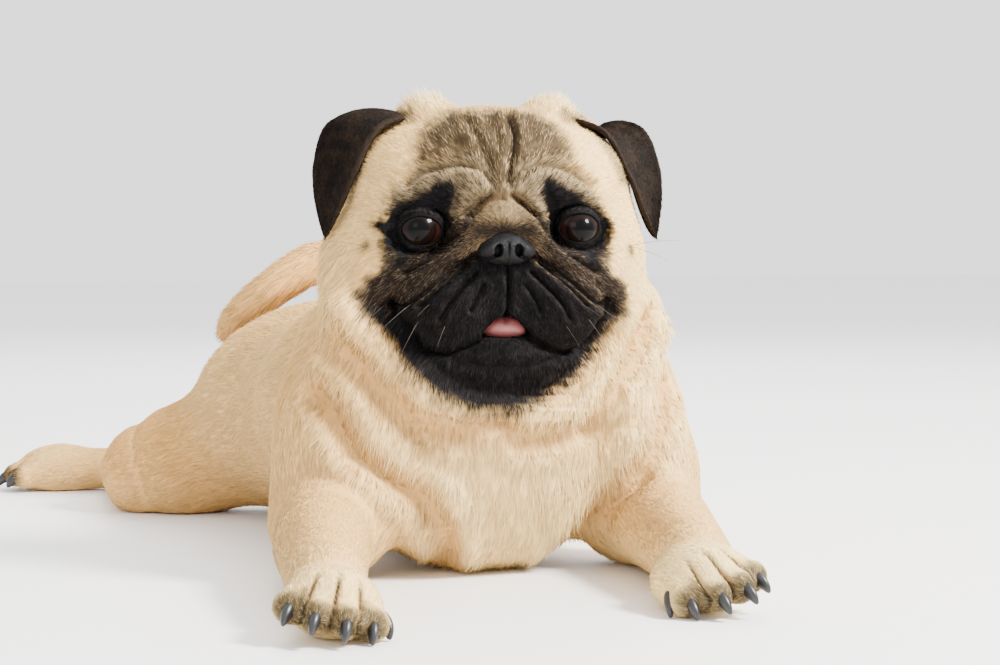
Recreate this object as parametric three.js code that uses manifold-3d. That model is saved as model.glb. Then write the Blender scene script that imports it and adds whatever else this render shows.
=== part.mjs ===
// A still, life-size pug that lies on its belly with its head up and its hind legs stretched out behind.
// Millimetres, +Z up. The animal faces -Y and its left side is +X.
// The origin is on the floor, under the front of the breastbone.
import * as THREE from "three";
import { mergeVertices } from "three/addons/utils/BufferGeometryUtils.js";
import Module from "manifold-3d";

const wasm = await Module();
wasm.setup();

// Gap kept between neighbours that touch
const GAP = 0.3;

// Trunk: centres and half-sizes of the masses under the coat, and the width of the fillet where each joins
const CHEST = { at: [0, 48, 74], half: [86, 86, 78], soft: 20 };
const BREAST = { at: [-2, 6, 52], half: [68, 48, 54], soft: 16 };
const RIBS = { at: [0, 130, 71], half: [86, 92, 73], soft: 20 };
const BELLY = { at: [0, 200, 64], half: [82, 74, 66], soft: 20 };
const RUMP = { at: [-2, 253, 63], half: [92, 67, 67], soft: 20 };
const SHOULDER = { at: [68, 10, 60], half: [34, 48, 50], soft: 16 };
const TRUNK_CORE = { from: [0, 20, 62], to: [0, 235, 62], reach: 110, facets: [6, 26, 11] };

// Neck, with the thick roll of skin that hangs under the jaw
const NECK = { at: [0, 28, 108], half: [92, 68, 50], soft: 16 };
const NAPE = { at: [0, 50, 148], half: [66, 46, 44], soft: 20 };
const ROLL = {
  knots: [[-62, 16, 152, 22], [-70, -10, 116, 21], [-50, -29, 93, 17], [-24, -39, 79, 12], [0, -42, 76.5, 10]],
  soft: 12,
};
const NECK_CORE = { at: [0, 20, 112], reach: 118, facets: [30, 20] };
const NECK_SEAM = { at: [0, -20, 165], half: [125, 115, 108] };

// Head, in its own frame: origin in the middle of the skull
const HEAD = { at: [2, 9, 165], turn: -12 };
const SKULL = { at: [0, 4, 4], half: [69, 56, 58], soft: 10 };
const CROWN = { at: [0, -6, 26], half: [60, 42, 38], soft: 14 };
const TEMPLE = { at: [44, -2, 29], half: [22.5, 34, 23], soft: 12 };
const CREST = { at: [31, 2, 55], half: [17, 17, 16], soft: 8 };
const EAR_BASE = { at: [46, 3, 50], half: [13, 12, 10], soft: 8 };
const CHEEK = { at: [44, -8, -14], half: [33, 42, 44], soft: 14 };
const MUZZLE = { at: [0, -38, -24], half: [46, 26, 30], soft: 10 };
const FLEW = { at: [24, -47, -32], half: [24, 19, 23], soft: 3 };
const NOSE_ROLL = {
  knots: [[-54, -38, -25, 7.5], [-40, -47.5, -17, 8], [-27, -53, -8, 8.5], [-14, -56, 3, 9], [0, -56.5, 8.5, 9]],
  soft: 3,
};
const BROW = { knots: [[-50, -30, 16, 6], [-34, -42, 21, 7.5], [-16, -46, 25, 7]], soft: 6 };
const HEAD_CORE = { at: [0, -14, -6], reach: 90, facets: [44, 30], crowd: 1.15 };
const HEAD_SEAM = { at: [0, -35, 0], half: [96, 78, 80] };
const HEAD_TO_NECK = 14;
const NOSE = { at: [0, -62, -5], half: [13, 8.5, 7], facets: [18, 12] };
const NOSTRIL = { at: [5.8, -68.5, -5.6], half: [3.1, 5, 2], splay: 24, facets: [8, 6] };
const EYE = { at: [37.7, -40, 4], radius: 11.5, facets: [14, 10] };
const LIDS = { radius: 13.6, soft: 4 };
const LID_OPENING = { half: [10.2, 16, 7.2], from: [1.5, -12, 0], splay: 14, facets: [16, 8] };

// Lower jaw and tongue, in the head's frame
const JAW = { at: [-4, -35.5, -54.3], half: [43.5, 29, 23.2] };
const JAW_CORE = { at: [0, -34, -56], reach: 60, facets: [22, 14] };
const MOUTH = { at: [0, -55, -41], half: [10.5, 14, 6.5], facets: 12 };
const TONGUE = { at: [0, -47, -43], half: [9.5, 13, 7], facets: 12 };

// Ears, in the head's frame: a flap that leaves the skull, folds over and hangs
const EAR = {
  path: [[40, 6, 44], [52, 2, 56], [67, -6, 53], [76, -13, 33], [81.5, -19, 0]],
  widths: [13, 18, 18.5, 15, 4.5],
  across: [0.72, 0.69, 0.05],
  thick: 2.4,
  cup: 5,
  endsWithin: 1 / 6,
  facets: [14, 18],
};

// Forelegs: the elbow lies at the side of the chest, the forearm along the floor
const FORELEGS = {
  right: {
    upper: [[-70, 16, 78, 34], [-80, 2, 46, 31], [-83, 0, 30, 28]],
    lower: [[-83, 2, 27, 27.5], [-102, -56, 24, 24.5], [-121, -131, 19, 19]],
    paw: { at: [-129, -158, 1.5], turn: -16, roll: 13 },
  },
  left: {
    upper: [[70, 16, 78, 34], [80, 2, 46, 33], [82, 0, 30, 30]],
    lower: [[82, 2, 27, 28], [73, -50, 24, 24.5], [56, -121, 19, 19]],
    paw: { at: [50, -150, 2], turn: 6, roll: -15 },
  },
};

// Hind legs: the knee is out to the side, the shank runs back, the foot points out
const HINDLEGS = {
  right: {
    thigh: [[-52, 280, 44, 40], [-88, 292, 30, 37], [-106, 302, 24, 30]],
    shank: [[-106, 312, 22, 28], [-108, 364, 17, 19], [-103, 408, 14, 15]],
    foot: { at: [-148, 438, 0], turn: -110 },
  },
  left: {
    thigh: [[52, 280, 44, 40], [88, 292, 30, 37], [106, 302, 24, 30]],
    shank: [[106, 312, 22, 28], [110, 364, 17, 19], [106, 402, 14, 15]],
    foot: { at: [131, 452, 0], turn: 146 },
  },
};

// Facets of a limb: rings on each end cap, round it, and along it
const LIMB = { reach: 90, facets: [4, 14, 3] };

// One foot, in its own frame: toes towards -Y, and for each toe its place across and how far its tip reaches
const PAD = { at: [0, 6, 13], half: [22, 25, 17], soft: 1 };
const TOES = [[-17, -19], [-6.3, -27], [6.3, -27], [17, -19]];
const TOE = { rootAt: [0.7, 0, 13], root: 9, tip: 8.6, height: 10, soft: 5 };
const HEEL = { knots: [[0, 46, 14, 14], [0, 14, 13, 15]], soft: 8 };
const FOREPAW = { core: [[0, 4, 12], [0, -2, 12]], reach: 50, facets: [6, 22, 1] };
const HIND_FOOT = { heel: HEEL, core: [[0, 46, 12], [0, -2, 12]], reach: 50, facets: [5, 18, 3] };
const CLAW = { length: 14, root: 3, sides: 6, dip: 150, fan: 0.7, out: 1, height: 8 };

// Tail: one turn over the right hip, each knot with its radius
const TAIL = {
  knots: [
    [6, 302, 92, 17], [18, 322, 116, 16], [12, 312, 140, 15.5], [-8, 290, 148, 15],
    [-34, 284, 135, 14], [-54, 296, 116, 12.5], [-58, 314, 106, 9],
  ],
  axis: [0.5, 0.1, 0.2],
  endsWithin: 1 / 8,
  facets: [12, 24],
};

// The floor that the animal lies on, as a block to cut with
const FLOOR = { size: [1200, 1600, 200], at: [0, 200, -100] };

const COLOURS = {
  coat: 0xdcc096,
  mask: 0x2b2725,
  ear: 0x241f1d,
  nose: 0x17171a,
  eye: 0x1c1009,
  tongue: 0xc9797c,
};

// Signed distances

const FAR = 1e3;
const vec = (x, y, z) => new THREE.Vector3(x, y, z);
const radians = THREE.MathUtils.degToRad;

/** Distance to an ellipsoid, close enough near its surface. */
function ellipsoid({ at, half }) {
  return (p) => {
    const [x, y, z] = [p.x - at[0], p.y - at[1], p.z - at[2]];
    const k0 = Math.hypot(x / half[0], y / half[1], z / half[2]);
    const k1 = Math.hypot(x / half[0] ** 2, y / half[1] ** 2, z / half[2] ** 2);
    return k1 > 0 ? (k0 * (k0 - 1)) / k1 : -Math.min(...half);
  };
}

/** Distance to a chain of round lengths, each knot given as x, y, z and radius. */
function chain(knots) {
  const lengths = knots.slice(1).map((knot, i) => {
    const [from, to] = [vec(...knots[i]), vec(...knot)];
    return { from, along: to.sub(from), radii: [knots[i][3], knot[3]] };
  });
  return (p) => {
    let nearest = Infinity;
    for (const { from, along, radii } of lengths) {
      const [x, y, z] = [p.x - from.x, p.y - from.y, p.z - from.z];
      const dot = (x * along.x + y * along.y + z * along.z) / along.lengthSq();
      const t = Math.min(1, Math.max(0, dot));
      const gap = Math.hypot(x - along.x * t, y - along.y * t, z - along.z * t);
      nearest = Math.min(nearest, gap - radii[0] - (radii[1] - radii[0]) * t);
    }
    return nearest;
  };
}

/** Joins two distances with a fillet about as wide as soft. */
function join(a, b, soft) {
  const h = Math.max(soft - Math.abs(a - b), 0) / soft;
  return Math.min(a, b) - h * h * soft * 0.25;
}

/** One field out of several forms, joined in order, each with its own fillet. */
function flesh(forms) {
  const fieldOf = (form) => (form.knots ? chain(form.knots) : ellipsoid(form));
  const parts = forms.map((form) => ({ field: fieldOf(form), soft: form.soft }));
  return (p) => parts.reduce((sum, { field, soft }) => join(sum, field(p), soft), FAR);
}

const mirroredKnots = (knots) => knots.map(([x, y, z, r]) => [-x, y, z, r]);

/** The same form on the other side of the middle plane. */
function mirrored(form) {
  if (form.knots) return { ...form, knots: mirroredKnots(form.knots) };
  const [x, y, z] = form.at;
  return { ...form, at: [-x, y, z] };
}

/** A chain that ends on the middle plane, carried on to the other side. */
function arch({ knots, soft }) {
  const otherSide = mirroredKnots(knots.slice(0, -1)).reverse();
  return { knots: [...knots, ...otherSide], soft };
}

const pairOf = (form) => [form, mirrored(form)];

// Solids

/** A geometry with its doubled seam and pole points merged, so that it is closed. */
function weld(geometry) {
  geometry.deleteAttribute("normal");
  geometry.deleteAttribute("uv");
  return mergeVertices(geometry, 1e-4);
}

/** A closed manifold solid from a welded geometry. */
function solid(geometry) {
  const vertProperties = new Float32Array(geometry.attributes.position.array);
  const triVerts = new Uint32Array(geometry.index.array);
  return new wasm.Manifold(new wasm.Mesh({ numProp: 3, vertProperties, triVerts }));
}

/** The largest closed surface of a solid, so that no loose scrap or sealed hollow stays. */
function largest(body) {
  return body.decompose().reduce((best, piece) => (piece.volume() > best.volume() ? piece : best));
}

/** A three.js geometry from a solid. */
function geometryOf(body) {
  const mesh = body.getMesh();
  const geometry = new THREE.BufferGeometry();
  geometry.setAttribute("position", new THREE.BufferAttribute(mesh.vertProperties, 3));
  geometry.setIndex(new THREE.BufferAttribute(mesh.triVerts, 1));
  const flat = geometry.toNonIndexed();
  flat.computeVertexNormals();
  return flat;
}

const STRIDE = 2;
const HALVINGS = 16;

/** Moves each vertex out from its core point until it meets the field's surface, or its offset. */
function wrap(geometry, coreOf, field, reach, offset = 0) {
  const shape = geometry.clone();
  const position = shape.attributes.position;
  const vertex = vec(0, 0, 0);
  const probe = vec(0, 0, 0);
  for (let i = 0; i < position.count; i += 1) {
    vertex.fromBufferAttribute(position, i);
    const core = coreOf(vertex);
    const ray = vertex.sub(core).normalize();
    let near = 0;
    let far = 0;
    while (far < reach && field(probe.copy(core).addScaledVector(ray, far)) < offset) {
      near = far;
      far += STRIDE;
    }
    far = Math.min(far, reach);
    for (let step = 0; step < HALVINGS && far < reach; step += 1) {
      const middle = (near + far) / 2;
      const inside = field(probe.copy(core).addScaledVector(ray, middle)) < offset;
      [near, far] = inside ? [middle, far] : [near, middle];
    }
    probe.copy(core).addScaledVector(ray, far);
    position.setXYZ(i, probe.x, probe.y, probe.z);
  }
  return shape;
}

/** A unit ball of facets about a point, its pole along -Y, with rings closer together towards that pole. */
function ball({ at = [0, 0, 0], facets: [around, rings], crowd = 1 }) {
  const geometry = weld(new THREE.SphereGeometry(1, around, rings));
  const position = geometry.attributes.position;
  for (let i = 0; i < position.count; i += 1) {
    const polar = Math.acos(THREE.MathUtils.clamp(position.getY(i), -1, 1));
    const newPolar = Math.PI * (polar / Math.PI) ** crowd;
    const ring = Math.hypot(position.getX(i), position.getZ(i)) || 1;
    const scale = Math.sin(newPolar) / ring;
    const [x, z] = [position.getX(i) * scale, position.getZ(i) * scale];
    position.setXYZ(i, x, Math.cos(newPolar), z);
  }
  geometry.rotateX(Math.PI);
  return geometry.translate(...at);
}

const fromPoint = (at) => () => vec(...at);

/** Core point of a vertex on a chain's own skin: the nearest point of its middle line. */
function fromLine(start, end) {
  const along = vec(...end).sub(vec(...start));
  return (p) => {
    const t = p.clone().sub(vec(...start)).dot(along) / along.lengthSq();
    return vec(...start).addScaledVector(along, THREE.MathUtils.clamp(t, 0, 1));
  };
}

/** A thin capsule of facets along a line, ready to be wrapped. */
function capsule(start, end, caps, around, lengths) {
  const along = vec(...end).sub(vec(...start));
  const geometry = weld(new THREE.CapsuleGeometry(1, along.length(), caps, around, lengths));
  const turn = new THREE.Quaternion().setFromUnitVectors(vec(0, 1, 0), along.clone().normalize());
  geometry.applyQuaternion(turn);
  return geometry.translate(...vec(...start).addScaledVector(along, 0.5).toArray());
}

/** A limb wrapped about the line between its first and last knots. */
function limb(knots, offset = 0) {
  const [start, end] = [knots[0].slice(0, 3), knots[knots.length - 1].slice(0, 3)];
  const skin = capsule(start, end, ...LIMB.facets);
  return solid(wrap(skin, fromLine(start, end), chain(knots), LIMB.reach, offset));
}

/** A smooth egg that cuts two neighbours apart. */
function egg({ at, half, facets = 24 }, grow = 0) {
  const geometry = weld(new THREE.SphereGeometry(1, facets, Math.round(facets / 1.5)));
  geometry.scale(half[0] + grow, half[1] + grow, half[2] + grow);
  return geometry.translate(...at);
}

const floor = solid(weld(new THREE.BoxGeometry(...FLOOR.size)).translate(...FLOOR.at));
const aboveFloor = (body) => body.subtract(floor);

// Head

const headPlace = new THREE.Matrix4().makeRotationZ(radians(HEAD.turn)).setPosition(...HEAD.at);
const headInverse = headPlace.clone().invert();
const inHead = (field) => {
  const local = vec(0, 0, 0);
  return (p) => field(local.copy(p).applyMatrix4(headInverse));
};

const eyeMound = { at: EYE.at, half: [LIDS.radius, LIDS.radius, LIDS.radius], soft: LIDS.soft };
const headField = flesh([
  SKULL,
  CROWN,
  ...pairOf(TEMPLE),
  ...pairOf(CREST),
  ...pairOf(EAR_BASE),
  ...pairOf(CHEEK),
  MUZZLE,
  ...pairOf(FLEW),
  arch(NOSE_ROLL),
  ...pairOf(BROW),
  ...pairOf(eyeMound),
]);
const neckForms = [CHEST, BREAST, RIBS, NECK, NAPE, arch(ROLL)];
const neckField = flesh(neckForms);
const headAndNeck = (p) => join(neckField(p), inHead(headField)(p), HEAD_TO_NECK);
const trunkField = flesh([...neckForms, BELLY, RUMP, ...pairOf(SHOULDER)]);

const fromHeadFrame = (field) => {
  const world = vec(0, 0, 0);
  return (p) => field(world.copy(p).applyMatrix4(headPlace));
};
const wrapHead = (field, offset) => {
  const skin = wrap(ball(HEAD_CORE), fromPoint(HEAD_CORE.at), field, HEAD_CORE.reach, offset);
  return solid(skin);
};
const bareHead = (offset) => wrapHead(headField, offset);
const headClear = bareHead(GAP);

const noseSolid = (grow) => {
  const half = NOSE.half.map((size) => size + grow);
  return solid(ball({ facets: NOSE.facets }).scale(...half).translate(...NOSE.at));
};
const nostrils = [-1, 1].map((side) => {
  const hole = ball({ facets: NOSTRIL.facets }).scale(...NOSTRIL.half);
  hole.rotateY(radians(side * NOSTRIL.splay));
  return solid(hole.translate(side * NOSTRIL.at[0], NOSTRIL.at[1], NOSTRIL.at[2]));
});
const nose = nostrils.reduce((body, hole) => body.subtract(hole), noseSolid(0));

const eyeBall = (side, grow) => {
  const [radius, [x, y, z]] = [EYE.radius + grow, EYE.at];
  return solid(ball({ facets: EYE.facets }).scale(radius, radius, radius).translate(side * x, y, z));
};
const lidOpening = (side) => {
  const tunnel = ball({ facets: LID_OPENING.facets }).scale(...LID_OPENING.half);
  tunnel.rotateZ(radians(side * LID_OPENING.splay));
  const [x, y, z] = EYE.at.map((centre, axis) => centre + LID_OPENING.from[axis]);
  return solid(tunnel.translate(side * x, y, z));
};

const jawBody = (offset) => {
  const skin = wrap(ball(JAW_CORE), fromPoint(JAW_CORE.at), ellipsoid(JAW), JAW_CORE.reach, offset);
  return solid(skin);
};
const mouth = solid(egg(MOUTH));
const jaw = jawBody(0).subtract(headClear).subtract(mouth);
const tongue = solid(egg(MOUTH, -GAP)).intersect(solid(egg(TONGUE)));

/** A value between the entries of an even list, at a share t of its length. */
function valueAlong(list, t) {
  const slot = t * (list.length - 1);
  const index = Math.min(Math.floor(slot), list.length - 2);
  return THREE.MathUtils.lerp(list[index], list[index + 1], slot - index);
}

/** An ear flap: a leaf bent along its path, with its width turned along one direction. */
function earFlap(side, grow) {
  const mirror = ([x, y, z]) => vec(side * x, y, z);
  const path = new THREE.CatmullRomCurve3(EAR.path.map(mirror), false, "centripetal");
  const across = mirror(EAR.across).normalize();
  const leaf = ball({ facets: EAR.facets });
  const position = leaf.attributes.position;
  for (let i = 0; i < position.count; i += 1) {
    const [x, y, z] = [position.getX(i), position.getY(i), position.getZ(i)];
    const t = THREE.MathUtils.clamp(Math.acos(THREE.MathUtils.clamp(-y, -1, 1)) / Math.PI, 0, 1);
    const ring = Math.hypot(x, z) || 1;
    const round = Math.min(1, t / EAR.endsWithin, (1 - t) / EAR.endsWithin);
    const width = valueAlong(EAR.widths, t);
    const along = path.getTangent(t);
    const out = across.clone().cross(along).normalize();
    const edgeward = across.clone().addScaledVector(along, -across.dot(along)).normalize();
    const point = path.getPoint(t).addScaledVector(along, grow * (2 * t - 1));
    point.addScaledVector(edgeward, (x / ring) * (width * round + grow));
    const cup = EAR.cup * round * (1 - (x / ring) ** 2);
    point.addScaledVector(out, (z / ring) * (EAR.thick * round + grow) + cup);
    position.setXYZ(i, point.x, point.y, point.z);
  }
  return solid(leaf);
}

const bare = bareHead(0);
let head = wrapHead(fromHeadFrame(headAndNeck), 0).intersect(solid(egg(HEAD_SEAM)));
head = head.subtract(noseSolid(GAP)).subtract(mouth);
head = head.subtract(jawBody(GAP).subtract(bare));
for (const side of [-1, 1]) {
  head = head.subtract(eyeBall(side, GAP)).subtract(lidOpening(side));
  head = head.subtract(earFlap(side, GAP).subtract(bare));
}

const root = new THREE.Group();
const headGroup = new THREE.Group();
headGroup.position.set(...HEAD.at);
headGroup.rotation.z = radians(HEAD.turn);
root.add(headGroup);

/** Adds one named piece to its group. */
function place(group, name, body, colour, roughness = 0.9) {
  const material = new THREE.MeshStandardMaterial({ color: colour, roughness, metalness: 0 });
  const mesh = new THREE.Mesh(geometryOf(largest(body)), material);
  mesh.name = name;
  group.add(mesh);
  return mesh;
}

place(headGroup, "head", head, COLOURS.coat);
place(headGroup, "nose", nose, COLOURS.nose, 0.45);
place(headGroup, "lower_jaw", jaw, COLOURS.mask);
place(headGroup, "tongue", tongue, COLOURS.tongue, 0.4);
for (const [name, side] of [["right", -1], ["left", 1]]) {
  place(headGroup, `eye_${name}`, eyeBall(side, 0), COLOURS.eye, 0.1);
  place(headGroup, `ear_${name}`, earFlap(side, 0).subtract(headClear), COLOURS.ear);
}

// Neck and trunk

const headCut = solid(egg(HEAD_SEAM, GAP).applyMatrix4(headPlace));
const earCuts = [-1, 1].map((side) => earFlap(side, GAP).transform(headPlace.toArray()));
const neckSkin = wrap(ball(NECK_CORE), fromPoint(NECK_CORE.at), headAndNeck, NECK_CORE.reach);
let neck = solid(neckSkin).intersect(solid(egg(NECK_SEAM))).subtract(headCut);
neck = earCuts.reduce((body, ear) => body.subtract(ear), neck);
place(root, "neck", neck, COLOURS.coat);

const { from: coreFront, to: coreBack } = TRUNK_CORE;
const trunkRod = capsule(coreFront, coreBack, ...TRUNK_CORE.facets);
const trunkSkin = wrap(trunkRod, fromLine(coreFront, coreBack), trunkField, TRUNK_CORE.reach);
const neckClear = solid(egg(NECK_SEAM, GAP));
let trunk = aboveFloor(solid(trunkSkin).subtract(neckClear));

// Legs

/** One foot with its toes and claws fused, in its own frame. */
function footSolid({ heel, core: [back, front], reach, facets }) {
  const forms = heel ? [PAD, heel] : [PAD];
  const [rootShare, rootY, rootZ] = TOE.rootAt;
  for (const [x, tip] of TOES) {
    const knots = [[x * rootShare, rootY, rootZ, TOE.root], [x, tip + TOE.tip, TOE.height, TOE.tip]];
    forms.push({ knots, soft: TOE.soft });
  }
  let foot = solid(wrap(capsule(back, front, ...facets), fromLine(back, front), flesh(forms), reach));
  for (const [x, tip] of TOES) {
    const claw = weld(new THREE.ConeGeometry(CLAW.root, CLAW.length, CLAW.sides));
    claw.rotateX(radians(-CLAW.dip));
    claw.rotateZ(radians(x * CLAW.fan));
    foot = foot.add(solid(claw.translate(x, tip - CLAW.out, CLAW.height)));
  }
  return foot;
}

/** Matrix of a foot turned about the upright, and rolled about its own length. */
function placed({ at, turn, roll = 0 }) {
  const angles = new THREE.Euler(0, radians(roll), radians(turn), "ZYX");
  return new THREE.Matrix4().makeRotationFromEuler(angles).setPosition(...at).toArray();
}

for (const [name, leg] of Object.entries(FORELEGS)) {
  const upper = limb(leg.upper);
  const lower = limb(leg.lower);
  const lowerClear = limb(leg.lower, GAP);
  const upperArm = upper.subtract(lowerClear).subtract(neckClear);
  const paw = footSolid(FOREPAW).transform(placed(leg.paw));
  place(root, `forearm_${name}`, aboveFloor(lower), COLOURS.coat);
  place(root, `upper_foreleg_${name}`, aboveFloor(upperArm), COLOURS.coat);
  place(root, `forepaw_${name}`, aboveFloor(paw.subtract(lowerClear)), COLOURS.coat);
  trunk = trunk.subtract(limb(leg.upper, GAP)).subtract(lowerClear);
}
for (const [name, leg] of Object.entries(HINDLEGS)) {
  const thigh = limb(leg.thigh);
  const thighClear = limb(leg.thigh, GAP);
  const shank = limb(leg.shank);
  const shankClear = limb(leg.shank, GAP);
  const foot = footSolid(HIND_FOOT).transform(placed(leg.foot));
  place(root, `thigh_${name}`, aboveFloor(thigh), COLOURS.coat);
  place(root, `shank_${name}`, aboveFloor(shank.subtract(thighClear)), COLOURS.coat);
  place(root, `hind_foot_${name}`, aboveFloor(foot.subtract(shankClear)), COLOURS.coat);
  trunk = trunk.subtract(thighClear).subtract(shankClear);
}

// Tail

/** A round length that follows the tail's knots, with closed ends. */
function tailSkin(grow) {
  const curve = new THREE.CatmullRomCurve3(TAIL.knots.map((knot) => vec(...knot)));
  const radii = TAIL.knots.map((knot) => knot[3]);
  const rod = ball({ facets: TAIL.facets });
  const position = rod.attributes.position;
  for (let i = 0; i < position.count; i += 1) {
    const [x, y, z] = [position.getX(i), position.getY(i), position.getZ(i)];
    const t = Math.acos(THREE.MathUtils.clamp(-y, -1, 1)) / Math.PI;
    const radius = valueAlong(radii, t);
    const round = Math.sin((Math.PI / 2) * Math.min(1, t / TAIL.endsWithin, (1 - t) / TAIL.endsWithin));
    const ring = Math.hypot(x, z) || 1;
    const along = curve.getTangent(t);
    const side = along.clone().cross(vec(...TAIL.axis)).normalize();
    const up = side.clone().cross(along).normalize();
    const point = curve.getPoint(t).addScaledVector(along, grow * (2 * t - 1));
    point.addScaledVector(side, (x / ring) * (radius * round + grow));
    point.addScaledVector(up, (z / ring) * (radius * round + grow));
    position.setXYZ(i, point.x, point.y, point.z);
  }
  return solid(rod);
}

place(root, "tail", tailSkin(0), COLOURS.coat);
place(root, "torso", trunk.subtract(tailSkin(GAP)), COLOURS.coat);

export default root;
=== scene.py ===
import math

import bpy
import numpy as np
from mathutils import Matrix, Vector
from mathutils.kdtree import KDTree


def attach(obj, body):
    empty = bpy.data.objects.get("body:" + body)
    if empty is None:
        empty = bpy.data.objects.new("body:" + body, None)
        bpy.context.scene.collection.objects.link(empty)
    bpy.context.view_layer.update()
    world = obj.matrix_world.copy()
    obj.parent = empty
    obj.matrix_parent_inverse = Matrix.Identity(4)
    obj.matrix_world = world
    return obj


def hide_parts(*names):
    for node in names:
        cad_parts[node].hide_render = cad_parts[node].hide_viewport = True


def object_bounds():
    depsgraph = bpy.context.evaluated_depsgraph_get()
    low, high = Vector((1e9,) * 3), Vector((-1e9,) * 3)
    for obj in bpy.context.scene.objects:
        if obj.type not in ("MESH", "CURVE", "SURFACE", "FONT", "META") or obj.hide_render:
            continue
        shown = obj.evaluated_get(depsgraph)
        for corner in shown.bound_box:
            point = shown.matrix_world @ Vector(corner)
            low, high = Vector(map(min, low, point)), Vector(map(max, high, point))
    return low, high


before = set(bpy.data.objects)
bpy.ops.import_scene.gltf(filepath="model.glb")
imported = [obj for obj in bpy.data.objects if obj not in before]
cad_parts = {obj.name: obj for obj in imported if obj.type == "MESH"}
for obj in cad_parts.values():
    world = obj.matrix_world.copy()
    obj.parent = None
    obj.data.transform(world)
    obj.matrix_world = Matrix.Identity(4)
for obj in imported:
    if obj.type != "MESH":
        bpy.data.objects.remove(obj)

# Camera
# The animal is seen from the height of its face, 20 degrees to its right, through a short telephoto lens.
# Places are in millimetres, in the frame of the solids, and MM turns them into metres.
MM = 0.001
CAMERA_AT = (-394, -1097, 171)
CAMERA_YAW = 20
CAMERA_DOWN = 2.6
LENS = 85.14
SENSOR = 36

cad_low, cad_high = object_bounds()
camera = bpy.data.objects.new("camera", bpy.data.cameras.new("camera"))
bpy.context.scene.collection.objects.link(camera)
camera.location = Vector(CAMERA_AT) * MM
camera.rotation_euler = (math.radians(90 - CAMERA_DOWN), 0, math.radians(-CAMERA_YAW))
camera.data.lens = LENS
camera.data.sensor_width = SENSOR
bpy.context.scene.camera = camera

# Forms of the body
# Soft masses and ropes of flesh under the coat, each joined to those before it with a fillet.
# They have the sizes of the solids, so that the skin lies just inside those. Only the temples and cheeks
# are a millimetre or two fuller.
FAR = 1e3
SIDES = (-1, 1)


def rotation(degrees, axis):
    return Matrix.Rotation(math.radians(degrees), 3, axis)


def on_side(places, side):
    """Places of the animal's left side, or the same on its right side where side is -1."""
    return np.array(places, float) * (side, 1, 1)


def mass(at, half, soft):
    return {"at": np.array(at, float), "half": np.array(half, float), "soft": soft}


def rope(knots, soft):
    """A chain of round lengths, each knot given as x, y, z and radius."""
    return {"knots": np.array(knots, float), "soft": soft}


def mirrored(form):
    key = "knots" if "knots" in form else "at"
    other = form[key].copy()
    other[..., 0] *= -1
    return {**form, key: other}


def pair(form):
    return [form, mirrored(form)]


def arch(form):
    """A rope that ends on the middle plane, carried on to the other side."""
    return {**form, "knots": np.concatenate([form["knots"], mirrored(form)["knots"][-2::-1]])}


TRUNK = [
    mass((0, 48, 74), (86, 86, 78), 20),
    mass((-2, 6, 52), (68, 48, 54), 16),
    mass((0, 130, 71), (86, 92, 73), 20),
    mass((0, 28, 108), (92, 68, 50), 16),
    mass((0, 50, 148), (66, 46, 44), 20),
    arch(rope([
        (-62, 16, 152, 22), (-70, -10, 116, 21), (-50, -29, 93, 17), (-24, -39, 79, 12), (0, -42, 76.5, 10),
    ], 12)),
    mass((0, 200, 64), (82, 74, 66), 20),
    mass((-2, 253, 63), (92, 67, 67), 20),
    *pair(mass((68, 10, 60), (34, 48, 50), 16)),
]

HEAD_AT = np.array((2, 9, 165), float)
HEAD_TURN = -12
HEAD_TO_NECK = 14
EYE_AT = (37.7, -40, 4)
EYE_RADIUS = 11.5
LID_RADIUS = 13.6
NOSE_ROLL = rope([
    (-54, -38, -25, 7.5), (-40, -47.5, -17, 8), (-27, -53, -8, 8.5), (-14, -56, 3, 9), (0, -56.5, 8.5, 9),
], 3)
HEAD = [
    mass((0, 4, 4), (69, 56, 58), 10),
    mass((0, -6, 26), (60, 42, 38), 14),
    *pair(mass((44, -2, 29), (25, 34, 23), 12)),
    *pair(mass((31, 2, 55), (17, 17, 16), 8)),
    *pair(mass((46, 3, 50), (13, 12, 10), 8)),
    *pair(mass((44, -8, -14), (34, 42, 44), 14)),
    mass((0, -38, -24), (46, 26, 30), 10),
    *pair(mass((24, -47, -32), (24, 19, 23), 3)),
    arch(NOSE_ROLL),
    *pair(rope([(-50, -30, 16, 6), (-34, -42, 21, 7.5), (-16, -46, 25, 7)], 6)),
    *pair(mass(EYE_AT, (LID_RADIUS,) * 3, 4)),
]
JAW = mass((-4, -35.5, -54.3), (43.5, 29, 23.2), 2)

LIMBS = {
    "foreleg_right": {
        "upper": [(-70, 16, 78, 34), (-80, 2, 46, 31), (-83, 0, 30, 28)],
        "lower": [(-83, 2, 27, 27.5), (-102, -56, 24, 24.5), (-121, -131, 19, 19)],
        "foot": {"at": (-129, -158, 1.5), "turn": -16, "roll": 13, "heel": False},
    },
    "foreleg_left": {
        "upper": [(70, 16, 78, 34), (80, 2, 46, 33), (82, 0, 30, 30)],
        "lower": [(82, 2, 27, 28), (73, -50, 24, 24.5), (56, -121, 19, 19)],
        "foot": {"at": (50, -150, 2), "turn": 6, "roll": -15, "heel": False},
    },
    "hind_leg_right": {
        "upper": [(-52, 280, 44, 40), (-88, 292, 30, 37), (-106, 302, 24, 30)],
        "lower": [(-106, 312, 22, 28), (-108, 364, 17, 19), (-103, 408, 14, 15)],
        "foot": {"at": (-148, 438, 0), "turn": -110, "roll": 0, "heel": True},
    },
    "hind_leg_left": {
        "upper": [(52, 280, 44, 40), (88, 292, 30, 37), (106, 302, 24, 30)],
        "lower": [(106, 312, 22, 28), (110, 364, 17, 19), (106, 402, 14, 15)],
        "foot": {"at": (131, 452, 0), "turn": 146, "roll": 0, "heel": True},
    },
}
LIMB_JOINS = {"upper": 18, "lower": 12, "foot": 6}
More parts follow.
